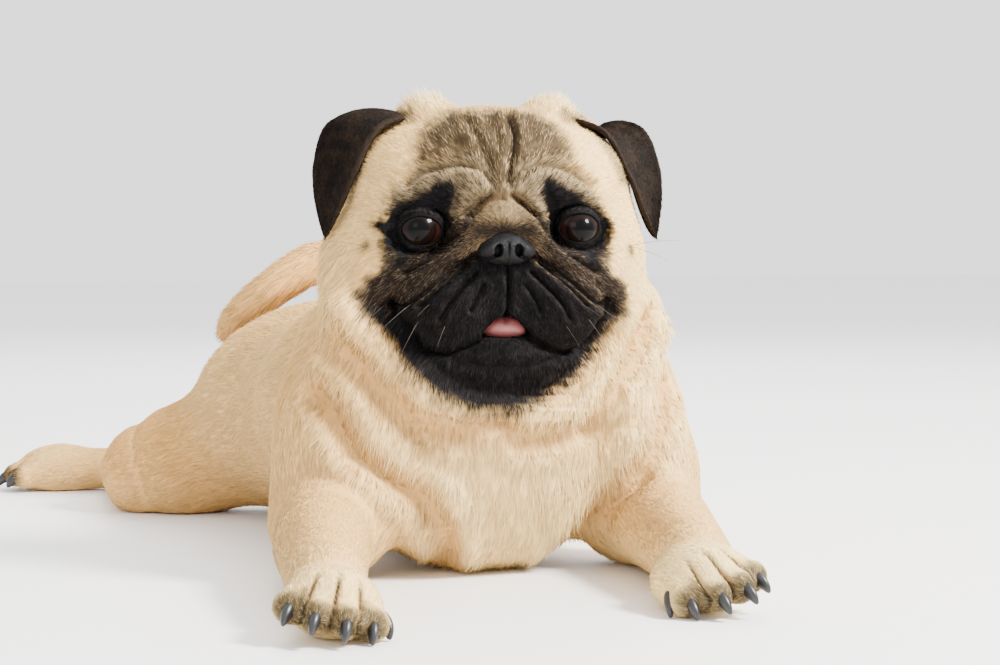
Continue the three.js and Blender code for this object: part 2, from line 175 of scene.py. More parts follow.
TOES = [(-17, -19), (-6.3, -27), (6.3, -27), (17, -19)]
TOE_ROOT_SHARE, TOE_ROOT, TOE_ROOT_HEIGHT = 0.7, 9, 13
TOE_TIP, TOE_HEIGHT, TOE_SOFT = 8.6, 10, 5
PAD = mass((0, 6, 13), (22, 25, 17), 1)
HEEL = rope([(0, 46, 14, 14), (0, 14, 13, 15)], 8)
TAIL = [
    (6, 302, 92, 17), (18, 322, 116, 16), (12, 312, 140, 15.5), (-8, 290, 148, 15),
    (-34, 284, 135, 14), (-54, 296, 116, 12.5), (-58, 314, 106, 9),
]
TAIL_JOIN = 8


def spline(knots, shares):
    """Points of a centripetal Catmull-Rom curve at shares of its knots, from 0 to 1."""
    knots = np.array(knots, float)
    ends = [2 * knots[0] - knots[1], *knots, 2 * knots[-1] - knots[-2]]
    points = []
    for share in np.atleast_1d(shares):
        slot = share * (len(knots) - 1)
        i = min(int(slot), len(knots) - 2)
        weight = slot - i
        p0, p1, p2, p3 = ends[i:i + 4]
        steps = ((p0, p1), (p1, p2), (p2, p3))
        d0, d1, d2 = (max(np.linalg.norm((b - a)[:3]), 1e-4) ** 0.5 for a, b in steps)
        t1 = ((p1 - p0) / d0 - (p2 - p0) / (d0 + d1) + (p2 - p1) / d1) * d1
        t2 = ((p2 - p1) / d1 - (p3 - p1) / (d1 + d2) + (p3 - p2) / d2) * d1
        c2, c3 = -3 * p1 + 3 * p2 - 2 * t1 - t2, 2 * p1 - 2 * p2 + t1 + t2
        points.append(p1 + t1 * weight + c2 * weight ** 2 + c3 * weight ** 3)
    return np.array(points)


def foot_frame(foot):
    return np.array(rotation(foot["turn"], "Z") @ rotation(foot["roll"], "Y"))


def to_foot(points, foot):
    return (points - np.array(foot["at"], float)) @ foot_frame(foot)


head_frame = np.array(rotation(HEAD_TURN, "Z"))


def to_head(points):
    return (points - HEAD_AT) @ head_frame


def from_head(local):
    return local @ head_frame.T + HEAD_AT


def chain_distance(points, knots):
    knots = np.asarray(knots, float)
    nearest = np.full(len(points), FAR)
    for start, end in zip(knots[:-1], knots[1:]):
        along = end[:3] - start[:3]
        share = np.clip((points - start[:3]) @ along / (along @ along), 0, 1)
        gap = np.linalg.norm(points - start[:3] - share[:, None] * along, axis=1)
        nearest = np.minimum(nearest, gap - start[3] - (end[3] - start[3]) * share)
    return nearest


def distance(points, form):
    if "knots" in form:
        return chain_distance(points, form["knots"])
    out = points - form["at"]
    k0 = np.linalg.norm(out / form["half"], axis=1)
    k1 = np.linalg.norm(out / form["half"] ** 2, axis=1)
    return k0 * (k0 - 1) / np.maximum(k1, 1e-9)


def join(a, b, soft):
    h = np.maximum(soft - np.abs(a - b), 0) / soft
    return np.minimum(a, b) - h * h * soft * 0.25


def flesh(points, forms):
    total = np.full(len(points), FAR)
    for form in forms:
        total = join(total, distance(points, form), form["soft"])
    return total


FOOT = [PAD] + [
    rope([
        (x * TOE_ROOT_SHARE, 0, TOE_ROOT_HEIGHT, TOE_ROOT), (x, tip + TOE_TIP, TOE_HEIGHT, TOE_TIP),
    ], TOE_SOFT)
    for x, tip in TOES
]
FOOT_WITH_HEEL = [PAD, HEEL] + FOOT[1:]
tail_knots = spline(TAIL, np.linspace(0, 1, 25))


def part_distances(points):
    """Distance to each part of the body, all joined together, and one by one."""
    parts = {"trunk": flesh(points, TRUNK)}
    joined = parts["trunk"]
    for name, limb in LIMBS.items():
        foot = limb["foot"]
        lengths = {length: chain_distance(points, limb[length]) for length in ("upper", "lower")}
        lengths["foot"] = flesh(to_foot(points, foot), FOOT_WITH_HEEL if foot["heel"] else FOOT)
        for length, soft in LIMB_JOINS.items():
            joined = join(joined, lengths[length], soft)
        parts[name] = np.minimum(lengths["upper"], lengths["lower"])
        parts[f"{name}_foot"] = lengths["foot"]
    parts["tail"] = chain_distance(points, tail_knots)
    joined = join(joined, parts["tail"], TAIL_JOIN)
    local = to_head(points)
    parts["head"] = join(flesh(local, HEAD), distance(local, JAW), JAW["soft"])
    return join(joined, parts["head"], HEAD_TO_NECK), parts


# Skin
# One closed skin over trunk, head, legs and tail, inside the solids by the depth of the coat.
# It is a net over the forms, made finer on the head and feet, with the folds of the face pressed in.
GRID = 4.0
COARSE = 4
FLOOR_GAP = 0.6
COAT_DEPTH = {"trunk": 3.4, "head": 1.6, "tail": 3.0, "foot": 1.3, "leg": 2.2}
FACE_DEPTH = 0.8
FACE_FROM, FACE_TO = 5, 30
PART_BLEND = 7.0
NEAR_BLOCKS = 1.6
BOX_MARGIN = 12


def smooth(values, low, high):
    share = np.clip((values - low) / (high - low), 0, 1)
    return share * share * (3 - 2 * share)


def part_kind(name):
    return name if name in COAT_DEPTH else "foot" if name.endswith("foot") else "leg"


def part_shares(parts):
    """How much each part has of each point, from how near it is."""
    nearest = np.min(list(parts.values()), axis=0)
    weights = {name: np.exp(-(gap - nearest) / PART_BLEND) for name, gap in parts.items()}
    total = sum(weights.values())
    return {name: weight / total for name, weight in weights.items()}


def skin_distance(points):
    joined, parts = part_distances(points)
    shares = part_shares(parts)
    depth = sum(share * COAT_DEPTH[part_kind(name)] for name, share in shares.items())
    face = shares["head"] * smooth(-to_head(points)[:, 1], FACE_FROM, FACE_TO)
    depth = depth + face * (FACE_DEPTH - COAT_DEPTH["head"])
    return np.maximum(joined + depth, FLOOR_GAP - points[:, 2])


def refined(blocks):
    return blocks.repeat(COARSE, 0).repeat(COARSE, 1).repeat(COARSE, 2)


def grid_values(low, high):
    """Distances on a grid, worked out only near the surface, elsewhere just their sign."""
    block = GRID * COARSE
    counts = np.ceil((high - low) / block).astype(int)
    axes = [low[k] + (np.arange(counts[k]) + 0.5) * block for k in range(3)]
    middles = np.stack(np.meshgrid(*axes, indexing="ij"), -1)
    rough = skin_distance(middles.reshape(-1, 3)).reshape(counts)
    values = refined(rough)
    near = refined(np.abs(rough) < block * NEAR_BLOCKS)
    places = np.argwhere(near)
    values[near] = skin_distance(low + places * GRID)
    return values


def surface_net(values, low):
    """Corners and quads of a net, one corner in each cell that the surface crosses."""
    inside = values < 0
    size = np.array(values.shape) - 1
    corners = [np.array((a, b, c)) for a in (0, 1) for b in (0, 1) for c in (0, 1)]
    filled = sum(
        inside[a:a + size[0], b:b + size[1], c:c + size[2]].astype(np.int8) for a, b, c in corners
    )
    mixed = (filled > 0) & (filled < 8)
    index = np.full(size, -1)
    index[mixed] = np.arange(mixed.sum())
    cells = np.argwhere(mixed)
    total = np.zeros((len(cells), 3))
    crossings = np.zeros(len(cells))
    for axis in range(3):
        step = np.eye(3, dtype=int)[axis]
        for corner in corners:
            if corner[axis]:
                continue
            start, end = cells + corner, cells + corner + step
            a, b = values[tuple(start.T)], values[tuple(end.T)]
            crossed = (a < 0) != (b < 0)
            share = np.where(crossed, a / np.where(crossed, a - b, 1), 0)
            total += crossed[:, None] * (corner + share[:, None] * step)
            crossings += crossed
    points = low + (cells + total / crossings[:, None]) * GRID
    quads = []
    for axis in range(3):
        across, upward = np.roll(np.eye(3, dtype=int), -axis, 0)[1:]
        step = np.eye(3, dtype=int)[axis]
        begin = np.moveaxis(inside, axis, 0)[:-1]
        end = np.moveaxis(inside, axis, 0)[1:]
        edges = np.argwhere(np.moveaxis(begin != end, 0, axis))
        edges = edges[(edges @ across > 0) & (edges @ upward > 0)]
        edges = edges[np.all(edges < size, axis=1)]
        ring = [edges, edges - across, edges - across - upward, edges - upward]
        quad = np.stack([index[tuple(corner.T)] for corner in ring], 1)
        outward = inside[tuple(edges.T)]
        quads.append(np.where(outward[:, None], quad, quad[:, ::-1]))
    return points, np.concatenate(quads)


def slope(field, points, reach=0.4):
    """Gradient of a field, from four probes about each point."""
    probes = np.array(((1, -1, -1), (-1, -1, 1), (-1, 1, -1), (1, 1, 1)), float)
    total = sum(probe * field(points + probe * reach)[:, None] for probe in probes)
    return total / (4 * reach)


def settle(points, field, rounds):
    """Moves points onto the surface of a field."""
    for _ in range(rounds):
        steep = slope(field, points)
        steep = steep / np.maximum(np.einsum("ij,ij->i", steep, steep), 0.2)[:, None]
        step = field(points)[:, None] * steep
        length = np.linalg.norm(step, axis=1)[:, None]
        points = points - step * np.minimum(1, 2 / np.maximum(length, 1e-9))
    return points


def split(points, triangles, marked):
    """Halves every edge between two marked points, and parts the triangles to match."""
    edges = np.sort(triangles[:, [[0, 1], [1, 2], [2, 0]]].reshape(-1, 2), axis=1)
    keys, where = np.unique(edges[:, 0] * len(points) + edges[:, 1], return_inverse=True)
    ends = np.stack([keys // len(points), keys % len(points)], 1)
    halved = marked[ends].all(1)
    middle = np.full(len(keys), -1)
    middle[halved] = len(points) + np.arange(halved.sum())
    points = np.concatenate([points, points[ends[halved]].mean(1)])
    mids = middle[where].reshape(-1, 3)
    count = (mids >= 0).sum(1)
    a, b, c = triangles[count == 3].T
    ab, bc, ca = mids[count == 3].T
    parted = [np.stack(t, 1) for t in ((a, ab, ca), (ab, b, bc), (ca, bc, c), (ab, bc, ca))]
    for k in range(3):
        single = (count == 1) & (mids[:, k] >= 0)
        a, b, c = np.roll(triangles[single], -k, axis=1).T
        m = mids[single, k]
        parted += [np.stack((a, m, c), 1), np.stack((m, b, c), 1)]
    return points, np.concatenate([triangles[count == 0], *parted])


low = np.array(cad_low) / MM - BOX_MARGIN
high = np.array(cad_high) / MM + BOX_MARGIN
skin_points, quads = surface_net(grid_values(low, high), low)
skin_points = settle(skin_points, skin_distance, 3)
skin_triangles = np.concatenate([quads[:, [0, 1, 2]], quads[:, [0, 2, 3]]])


FINE_REACH = 3
TOES_FROM, FACE_FRONT, FACE_HALF = -8, -28, 60
EYE_ZONE, EYE_SPREAD = 14.5, (1.5, 1, 1)
MOUTH_ZONE = {"half": 14, "low": -50, "high": -32, "front": -40}


def near_eyes(local):
    gaps = [np.linalg.norm((local - on_side(EYE_AT, side)) / EYE_SPREAD, axis=1) for side in SIDES]
    return np.min(gaps, axis=0)


def fine_zones(points):
    """Head and feet, then face and toes, then rims of eyes and mouth, each finer than the last."""
    parts = part_distances(points)[1]
    feet = np.zeros(len(points), bool)
    toes = np.zeros(len(points), bool)
    for name, limb in LIMBS.items():
        on_foot = parts[f"{name}_foot"] < FINE_REACH
        feet |= on_foot
        if not limb["foot"]["heel"]:
            toes |= on_foot & (to_foot(points, limb["foot"])[:, 1] < TOES_FROM)
    x, y, z = to_head(points).T
    on_head = parts["head"] < FINE_REACH
    face = on_head & (y < FACE_FRONT) & (np.abs(x) < FACE_HALF)
    mouth = (np.abs(x) < MOUTH_ZONE["half"]) & (z > MOUTH_ZONE["low"]) & (z < MOUTH_ZONE["high"])
    rims = (near_eyes(to_head(points)) < EYE_ZONE) | mouth & (y < MOUTH_ZONE["front"])
    return [on_head | feet, face | toes, on_head & rims]


for level in range(3):
    skin_points, skin_triangles = split(skin_points, skin_triangles, fine_zones(skin_points)[level])
    skin_points = settle(skin_points, skin_distance, 2)

# Folds of the face and neck
# The pug's face is thick skin laid in rolls: one over the nose, one over each brow, lines down the forehead
# and across the flews. Two more lie under the jaw and round the chest. Each is a narrow crease with a soft
# swelling along its two sides. The flews hang over the lower lip, and the mouth is a little open.
# Each has its line of x and z in the head's frame, its depth, half-width and swelling, and how dark the
# painted shade along its crease is.
FOLDS = [
    ([(5, 20), (10, 16), (16, 10), (20, 3), (27, -4), (36, -10.5), (46, -16)], (3.0, 1.5, 0.8), 0.75),
    ([(13, -7.5), (24, -14), (34, -22), (41.5, -28.5), (46, -32), (52, -31)], (3.8, 1.5, 0.9), 0.9),
    ([(4, 25), (9, 31), (17, 34.5), (27, 34), (36, 31), (44, 25)], (2.0, 1.9, 1.3), 0.3),
    ([(3, 31), (10, 40), (20, 44), (30, 44)], (0.8, 2.0, 0.6), 0),
    ([(20.5, 27), (22, 20), (25, 13), (27, 7)], (1.9, 2.6, 0.4), 0),
    ([(16, -11.5), (24.5, -18), (33, -25.5), (39.5, -32)], (2.6, 1.1, 0.9), 0.9),
    ([(13, -16), (20, -23), (27, -31), (31, -38)], (2.4, 1.1, 0.9), 0.9),
    ([(10, -22), (14.5, -29), (16.5, -34)], (1.9, 1.0, 0.7), 0.8),
    ([(24, -2), (31, -7), (41, -9), (50, -5), (54, 2)], (0.8, 1.4, 0.5), 0),
    ([(52, -29), (56, -31), (58, -36)], (3.0, 2.6, 0.6), 0.8),
    ([(58, -36), (54, -46), (46, -57)], (1.2, 2.5, 0.5), 0),
]
MIDDLE_FOLDS = [
    ([(6, 60), (7.5, 48), (5.5, 38), (3, 27)], (2.6, 1.7, 1.3), 0.6),
    ([(1, -12), (1.5, -22), (1, -36)], (3.0, 1.1, 0.6), 0.9),
    ([(-14, 56), (-9, 44), (-6, 34)], (1.2, 1.8, 0.7), 0),
]
CHIN_FOLDS = [([(0, -61), (14, -60.5), (25, -57)], (0.9, 1.6, 0.8), 0)]
NECK_FOLDS = [
    (
        [(-94, 132), (-84, 116), (-68, 96), (-52, 79), (-30, 74), (-12, 76), (3, 70), (20, 71), (34, 74),
         (48, 90), (62, 108), (74, 126)],
        (7.0, 4.0, 3.0), 0,
    ),
    ([(-90, 92), (-79, 64), (-60, 50), (-43, 41), (-32, 25), (-26, 6)], (6.5, 4.2, 2.8), 0),
    ([(86, 92), (76, 66), (60, 44), (44, 22), (30, 8)], (6.0, 4.2, 2.4), 0),
]
# width of the painted shade along each crease
FOLD_SHADE_WIDTH = 1.1
SWELL_AT, SWELL_WIDTH = 2.6, 1.4
FACE_FOLDS_AT = (12, 26)
NECK_FACING, NECK_BACK, NECK_FRONT = (0.05, 0.45), (-40, -5), (-80, -60)
MOUTH_MIDDLE = 1.0
LIP = [
    (0, -35), (5, -39.5), (10, -44.5), (20, -50.5), (29.5, -54), (38.5, -51.5), (44, -44), (48, -36),
    (53, -31),
]
FLEW_SIDE = [(-20, -35), *LIP, (75, -31), (75, 40), (-20, 40)]
LIP_INSET = 0.5
LIP_PRESS, LIP_WIDTH = 3.4, 1.3
LIP_SWELL, LIP_SWELL_AT, LIP_SWELL_WIDTH = 1.0, 3.2, 2.2
JAW_BACK, JAW_REACH, JAW_EDGE = 2.6, 9.0, (-0.2, 1.4)
MOUTH_GAP = [(-12, -34), (0.3, -34), (5.5, -39), (12, -44.6), (12, -46.4), (5, -47.6), (-12, -47.8)]
MOUTH_DEPTH = 11


def line_distance(flat, line):
    """Distance of points on a plane to a line of short lengths."""
    knots = np.pad(np.array(line, float), ((0, 0), (0, 2)))
    return chain_distance(np.pad(flat, ((0, 0), (0, 1))), knots)


def inside_outline(flat, outline):
    inside = np.zeros(len(flat), bool)
    for (x0, y0), (x1, y1) in zip(outline, outline[1:] + outline[:1]):
        if y0 == y1:
            continue
        crosses = (flat[:, 1] < y0) != (flat[:, 1] < y1)
        inside ^= crosses & (flat[:, 0] < x0 + (flat[:, 1] - y0) / (y1 - y0) * (x1 - x0))
    return inside


def outline_depth(flat, outline):
    """How deep points lie inside a closed outline, less than nothing outside it."""
    return np.where(inside_outline(flat, outline), 1, -1) * line_distance(flat, outline + outline[:1])


def press(flat, folds):
    """Height of folds: each is a crease, with a swelling along its two sides."""
    total = 0
    for line, (depth, width, swell), _ in folds:
        gap = line_distance(flat, line)
        rise = swell * np.exp(-((gap - SWELL_AT * width) / (SWELL_WIDTH * width)) ** 2)
        total = total + (rise - depth * np.exp(-(gap / width) ** 2))
    return total


def both_sides(local, middle=0.0):
    """Distance from the middle plane, and height, of points in the head's frame."""
    return np.stack([np.abs(local[:, 0] - middle), local[:, 2]], 1)


def lip_gap(local):
    """Signed distance to the edge of the upper lip, more than nothing on the flews."""
    flat = both_sides(local, MOUTH_MIDDLE)
    side = np.where(inside_outline(flat, FLEW_SIDE), 1, -1)
    return side * line_distance(flat, LIP)


def fold_shade_lines(local):
    """Share of painted shade: one along the deep creases of the face and the edge of the upper lip, nothing
    away from them.
    """
    lines = [
        shade_share * np.exp(-(line_distance(flat, line) / FOLD_SHADE_WIDTH) ** 2)
        for flat, folds in ((both_sides(local), FOLDS), (local[:, [0, 2]], MIDDLE_FOLDS))
        for line, _, shade_share in folds if shade_share
    ]
    lines.append(np.exp(-((lip_gap(local) + LIP_INSET) / FOLD_SHADE_WIDTH) ** 2))
    return np.max(lines, axis=0)


def fold_height(local):
    """How far the folds raise or press the skin of the head, in millimetres."""
    height = press(both_sides(local), FOLDS) + press(local[:, [0, 2]], MIDDLE_FOLDS)
    height += press(both_sides(local, MOUTH_MIDDLE), CHIN_FOLDS)
    gap = lip_gap(local)
    height -= LIP_PRESS * np.exp(-((gap + LIP_INSET) / LIP_WIDTH) ** 2)
    height += LIP_SWELL * np.exp(-((gap - LIP_SWELL_AT) / LIP_SWELL_WIDTH) ** 2)
    height -= JAW_BACK * smooth(-gap, *JAW_EDGE) * np.exp(np.minimum(gap, 0) / JAW_REACH)
    return height * smooth(-local[:, 1], *FACE_FOLDS_AT)


def mouth_share(local):
    """One inside the open mouth, nothing outside it."""
    depth = outline_depth(both_sides(local, MOUTH_MIDDLE), MOUTH_GAP)
    return smooth(depth, -0.1, 1.2) * (local[:, 1] < -30)


def neck_height(points, normals):
    """How far the folds under the jaw and round the chest raise or press the skin."""
    front = smooth(-normals[:, 1], *NECK_FACING) * smooth(-points[:, 1], *NECK_BACK)
    return press(points[:, [0, 2]], NECK_FOLDS) * (front * smooth(points[:, 1], *NECK_FRONT))


TOE_GAPS = (-11.6, 0, 11.6)
TOE_CREASE_DEPTH, TOE_CREASE_WIDTH = 1.7, 0.9
TOE_CREASE_ALONG, TOE_CREASE_UP, TOE_FAN = (0, 9), (1, 5), 20


def toe_creases(in_foot):
    """One along the three creases between the toes of a foot, and nothing away from them."""
    x, y, z = in_foot.T
    fan = TOE_ROOT_SHARE + (1 - TOE_ROOT_SHARE) * np.clip(-y / TOE_FAN, 0, 1)
    gap = np.min([np.abs(x - middle * fan) for middle in TOE_GAPS], axis=0)
    place = smooth(-y, *TOE_CREASE_ALONG) * smooth(z, *TOE_CREASE_UP)
    return np.exp(-(gap / TOE_CREASE_WIDTH) ** 2) * place


def foot_height(points):
    """How far the creases between the toes press the skin of the feet."""
    parts = part_distances(points)[1]
    height = np.zeros(len(points))
    for name, limb in LIMBS.items():
        creases = toe_creases(to_foot(points, limb["foot"]))
        height -= TOE_CREASE_DEPTH * creases * (parts[f"{name}_foot"] < 2)
    return height


LID_HALF = (9.6, 6.8)
LID_SPLAY = 3
LID_TILT, LID_RISE = 0.03, 0.7
LID_THICK = 1.2
SOCKET = 3.0
LID_EDGE, LID_BLEND = (-1.06, -0.86), (-2.0, -1.35)
# place, width and rise of the roll and the furrow round each eye's opening
LID_ROLLS = [(1.3, 0.14, 0.5), (1.52, 0.1, -0.5)]


def to_eye(local, side):
    """Places of points across, up and out of an eye's lids, and the direction out of them."""
    splay = math.radians(LID_SPLAY * side)
    across = np.array((math.cos(splay), math.sin(splay), 0))
    out = np.array((math.sin(splay), -math.cos(splay), 0))
    away = local - on_side(EYE_AT, side)
    return away @ across, away[:, 2], away @ out, out


def opening(u, v, side):
    """One on the rim of an eye's opening, and less inside it."""
    lift = (LID_TILT * u + LID_RISE) * side
    return np.sqrt((u / LID_HALF[0]) ** 2 + ((v - lift) / LID_HALF[1]) ** 2)


def lids(local, side):
    """Opens the skin over an eyeball and lays the rims of its lids on the ball."""
    u, v, w, out = to_eye(local, side)
    ring = opening(u, v, side)
    ball = np.sqrt(np.maximum(EYE_RADIUS ** 2 - u * u - v * v, 0))
    opened = ball + LID_THICK - (LID_THICK + SOCKET) * smooth(-ring, *LID_EDGE)
    opened += sum(rise * np.exp(-((ring - at) / width) ** 2) for at, width, rise in LID_ROLLS)
    share = smooth(-ring, *LID_BLEND) * (w > 0)
    return local + (share * (opened - w))[:, None] * out


normals = slope(skin_distance, skin_points)
normals /= np.linalg.norm(normals, axis=1)[:, None]
head_share = smooth(-part_distances(skin_points)[1]["head"], -4, -1)
local = to_head(skin_points)
open_mouth = mouth_share(local) * (head_share > 0.5)
height = fold_height(local) * head_share * (1 - open_mouth)
height += neck_height(skin_points, normals) + foot_height(skin_points)
inward = head_frame @ (0, MOUTH_DEPTH, 0)
skin_points = skin_points + normals * height[:, None] + inward * open_mouth[:, None]
for side in SIDES:
    moved = lids(to_head(skin_points), side)
    skin_points = skin_points + (from_head(moved) - skin_points) * (head_share > 0.5)[:, None]


def mesh_object(name, points, faces):
    """A mesh in metres from points in millimetres and faces that all have the same count of corners."""
    mesh = bpy.data.meshes.new(name)
    faces = np.asarray(faces, np.int32)
    mesh.vertices.add(len(points))
    mesh.vertices.foreach_set("co", (np.asarray(points) * MM).astype(np.float32).ravel())
    mesh.loops.add(faces.size)
    mesh.loops.foreach_set("vertex_index", faces.ravel())
    mesh.polygons.add(len(faces))
    mesh.polygons.foreach_set("loop_start", np.arange(0, faces.size, faces.shape[1], dtype=np.int32))
    mesh.update(calc_edges=True)
    mesh.polygons.foreach_set("use_smooth", np.ones(len(faces), bool))
    piece = bpy.data.objects.new(name, mesh)
    bpy.context.scene.collection.objects.link(piece)
    return piece


skin = mesh_object("skin", skin_points, skin_triangles)

# Ears
# Two thin button ears: velvet flaps that leave the skull, fold over and hang to the level of the eyes.
# Each is swept along its path as a cupped leaf, with its root sunk in the skull and fused to the skin.
EAR_PATH = [(40, 6, 44), (52, 2, 56), (67, -6, 53), (76, -13, 33), (81.5, -19, 0)]
EAR_WIDTHS = [13, 18, 18.5, 15, 4.5]
EAR_ACROSS = (0.72, 0.69, 0.05)
EAR_THICK = 1.7
EAR_INSET = 0.8
EAR_CUP = 5
EAR_RIM, EAR_RIM_AT, EAR_RIM_WIDTH = 0.5, 0.93, 0.05
EAR_LEAST_HALF, EAR_LEAST_THICK, EAR_ROUND = 0.4, 0.3, 0.7
EAR_POLE = 0.05
EAR_ENDS = 1 / 6
EAR_RINGS, EAR_AROUND = 56, 44


def value_along(values, share):
    return np.interp(share * (len(values) - 1), np.arange(len(values)), values)


def unit(vectors):
    return vectors / np.maximum(np.linalg.norm(vectors, axis=-1, keepdims=True), 1e-12)


def lathe_faces(rings, around):
    """Triangles of a closed skin of rings between two poles; the poles are the last two points."""
    ring, step = np.meshgrid(np.arange(rings - 1), np.arange(around), indexing="ij")
    a = ring * around + step
    b = ring * around + (step + 1) % around
    c, d = a + around, b + around
    sides = np.concatenate([np.stack((a, b, d), -1).reshape(-1, 3), np.stack((a, d, c), -1).reshape(-1, 3)])
    first, last = rings * around, rings * around + 1
    steps = np.arange(around)
    after = (steps + 1) % around
    foot = np.stack((np.full(around, first), after, steps), 1)
    end = (rings - 1) * around
    cap = np.stack((np.full(around, last), end + steps, end + after), 1)
    return np.concatenate([sides, foot, cap])


def ear_points(side):
    """Points of one ear, in the head's frame."""
    shares = (1 - np.cos(np.linspace(EAR_POLE, np.pi - EAR_POLE, EAR_RINGS))) / 2
    knots = on_side(EAR_PATH, side)
    path = spline(knots, shares)
    along = unit(spline(knots, np.minimum(shares + 1e-3, 1)) - path)
    across = unit(on_side(EAR_ACROSS, side))
    out = unit(np.cross(across, along))
    edgeward = unit(across - along * (along @ across)[:, None])
    ends = np.minimum(1, np.minimum(shares, 1 - shares) / EAR_ENDS)
    ends = np.sqrt(ends * (2 - ends))
    width = np.maximum(value_along(EAR_WIDTHS, shares) * ends - EAR_INSET, EAR_LEAST_HALF)
    angle = np.linspace(0, 2 * np.pi, EAR_AROUND, endpoint=False)
    x, z = np.cos(angle), np.sin(angle)
    curl = EAR_CUP * ends[:, None] * (1 - x * x)
    rim = EAR_RIM * np.exp(-((np.abs(x) - EAR_RIM_AT) / EAR_RIM_WIDTH) ** 2) * np.sign(z)
    thick = np.maximum(EAR_THICK * ends, EAR_LEAST_THICK)[:, None] * np.sign(z) * np.abs(z) ** EAR_ROUND
    points = path[:, None] + edgeward[:, None] * (x * width[:, None])[..., None]
    points = points + out[:, None] * (thick + curl + rim * ends[:, None])[..., None]
    poles = np.stack([path[0] - along[0] * 0.3, path[-1] + along[-1] * 0.3])
    return np.concatenate([points.reshape(-1, 3), poles])


def vectors_of(points, key):
    """One vector for each point of a mesh."""
    values = np.zeros(len(points) * 3, np.float32)
    points.foreach_get(key, values)
    return values.reshape(-1, 3).astype(float)


def triangles_of(mesh):
    mesh.calc_loop_triangles()
    corners = np.zeros(len(mesh.loop_triangles) * 3, np.int32)
    mesh.loop_triangles.foreach_get("vertices", corners)
    return corners.reshape(-1, 3)


def outward(piece):
    """Turns a closed piece's faces outward."""
    a, b, c = vectors_of(piece.data.vertices, "co")[triangles_of(piece.data)].transpose(1, 0, 2)
    if np.einsum("ij,ij->i", a, np.cross(b, c)).sum() < 0:
        piece.data.flip_normals()


ear_surface = KDTree(2 * (EAR_RINGS * EAR_AROUND + 2))
for side in SIDES:
    swept = from_head(ear_points(side))
    for index, point in enumerate(swept):
        ear_surface.insert(point, index)
    ear = mesh_object("ear", swept, lathe_faces(EAR_RINGS, EAR_AROUND))
    outward(ear)
    fuse = skin.modifiers.new("fuse", "BOOLEAN")
    fuse.operation = "UNION"
    fuse.solver = "MANIFOLD"
    fuse.object = ear
    bpy.context.view_layer.objects.active = skin
    bpy.ops.object.modifier_apply(modifier=fuse.name)
    bpy.data.objects.remove(ear)

ear_surface.balance()

# Markings
# Fawn coat with a black mask and ears. Where the mask meets the fawn, dark and pale hairs are mixed.
# Skin and coat take their colours from the same function, so that they always agree.
FAWN = (0.78, 0.475, 0.175)
APRICOT = (0.68, 0.365, 0.105)
# tan painted shade in the folds
FOLD_SHADE_TAN = (0.56, 0.30, 0.095)
CREAM = (0.93, 0.73, 0.345)
# near-black painted shade, in the creases of the face and toes and inside the open mouth
DEEP_SHADE = (0.0022, 0.0018, 0.0018)
BLACK = (0.0030, 0.0024, 0.0025)
SOOT = (0.009, 0.0068, 0.0058)
SMOKE = (0.040, 0.027, 0.018)
BRINDLE = (0.036, 0.024, 0.0145)
GRIZZLE = (0.39, 0.285, 0.155)
GOLD = (0.29, 0.195, 0.098)
GOLD_DARK = (0.125, 0.085, 0.050)
EAR_BLACK = (0.0055, 0.0042, 0.0036)
EAR_BROWN = (0.022, 0.0135, 0.0085)
EAR_EDGE = (0.034, 0.024, 0.017)
# grey hairs of the black mask, partly painted sheen
SLATE_AND_SHEEN = (0.019, 0.0172, 0.0180)
LID = (0.0032, 0.0030, 0.0034)
MASK = [
    (-30, 8), (14, 6), (20, 4), (22, 11), (20.5, 19), (20, 27.5), (25, 27), (33, 23), (42, 18), (50, 12.5),
    (57.5, 7), (54.5, -2), (52.5, -10), (56, -17), (65, -25), (65, -37), (59, -43), (52, -55), (43, -67),
    (29, -77), (12, -84), (-30, -85),
]
FOREHEAD = [(-30, 15), (3, 16), (10, 32), (22, 36), (38, 35), (37, 44), (33, 52), (21, 61), (-30, 63)]
BROW = [
    (3, 26), (6, 32), (14, 37), (27, 37), (38, 31), (47, 24), (53, 13), (50, 8), (30, 15), (24, 10),
    (22, 3), (12, 8), (5, 18),
]
# dark hair at the ear roots, and down each ear's inner edge the ear's painted shadow on the head
EAR_ROOT_HAIR_AND_SHADOW = [(38, 59), (50, 57), (60, 42), (66, 28)]
CREST_TOP = (31, 4, 67)
MASK_LEAN, MASK_SHIFT = 0.12, 0.045
ROLL_LINE = [(0, 9), (13, 3), (22, -6), (32, -14), (41, -21), (52, -26)]
MOLES = [(-64, -40, -3.4), (64.5, -40, -6)]
MOLE_SIZE = 3.2
# shares of cream; the share on the left side is painted light, where the key light falls
PALE = {"all": 0.22, "patches": 0.08, "chest": 0.45, "left": 0.3, "crests": 0.5, "back": 0.2, "legs": 0.3}
PATCH_SIZE = 60
CHEST_FRONT, CHEST_DOWN = (-60, 20), (-110, -50)
LIT_LEFT_SIDE, LIT_LEFT_FRONT = (0, 80), (-90, -10)
BACK_UP, BACK_BEHIND = (90, 150), (20, 120)
LEG_UP = (8, 34)
# how much tan painted shade goes into the folds, and its most
FOLD_SHADE_SHARE, MOST_FOLD_SHADE = 0.8, 0.7
LEG_WARMTH, TAIL_WARMTH = 0.55, 0.45
EAR_ROOT, EAR_FLAP = 0.05, 0.17
ODD_TINT, ODD_SHARE = 1.06, 0.35

rng = np.random.default_rng(7)
WAVES = unit(rng.normal(size=(14, 3))) * rng.uniform(0.6, 1.7, (14, 1))
PHASES = rng.uniform(0, 2 * np.pi, 14)


def ripple(points, size):
    """Soft noise from -1 to 1, a sum of waves in many directions, each about a size long."""
    return np.sin(points @ WAVES.T * (2 * np.pi / size) + PHASES).mean(1) * 2.2


def mix(a, b, share):
    share = np.asarray(share)[:, None]
    return np.asarray(a) * (1 - share) + np.asarray(b) * share


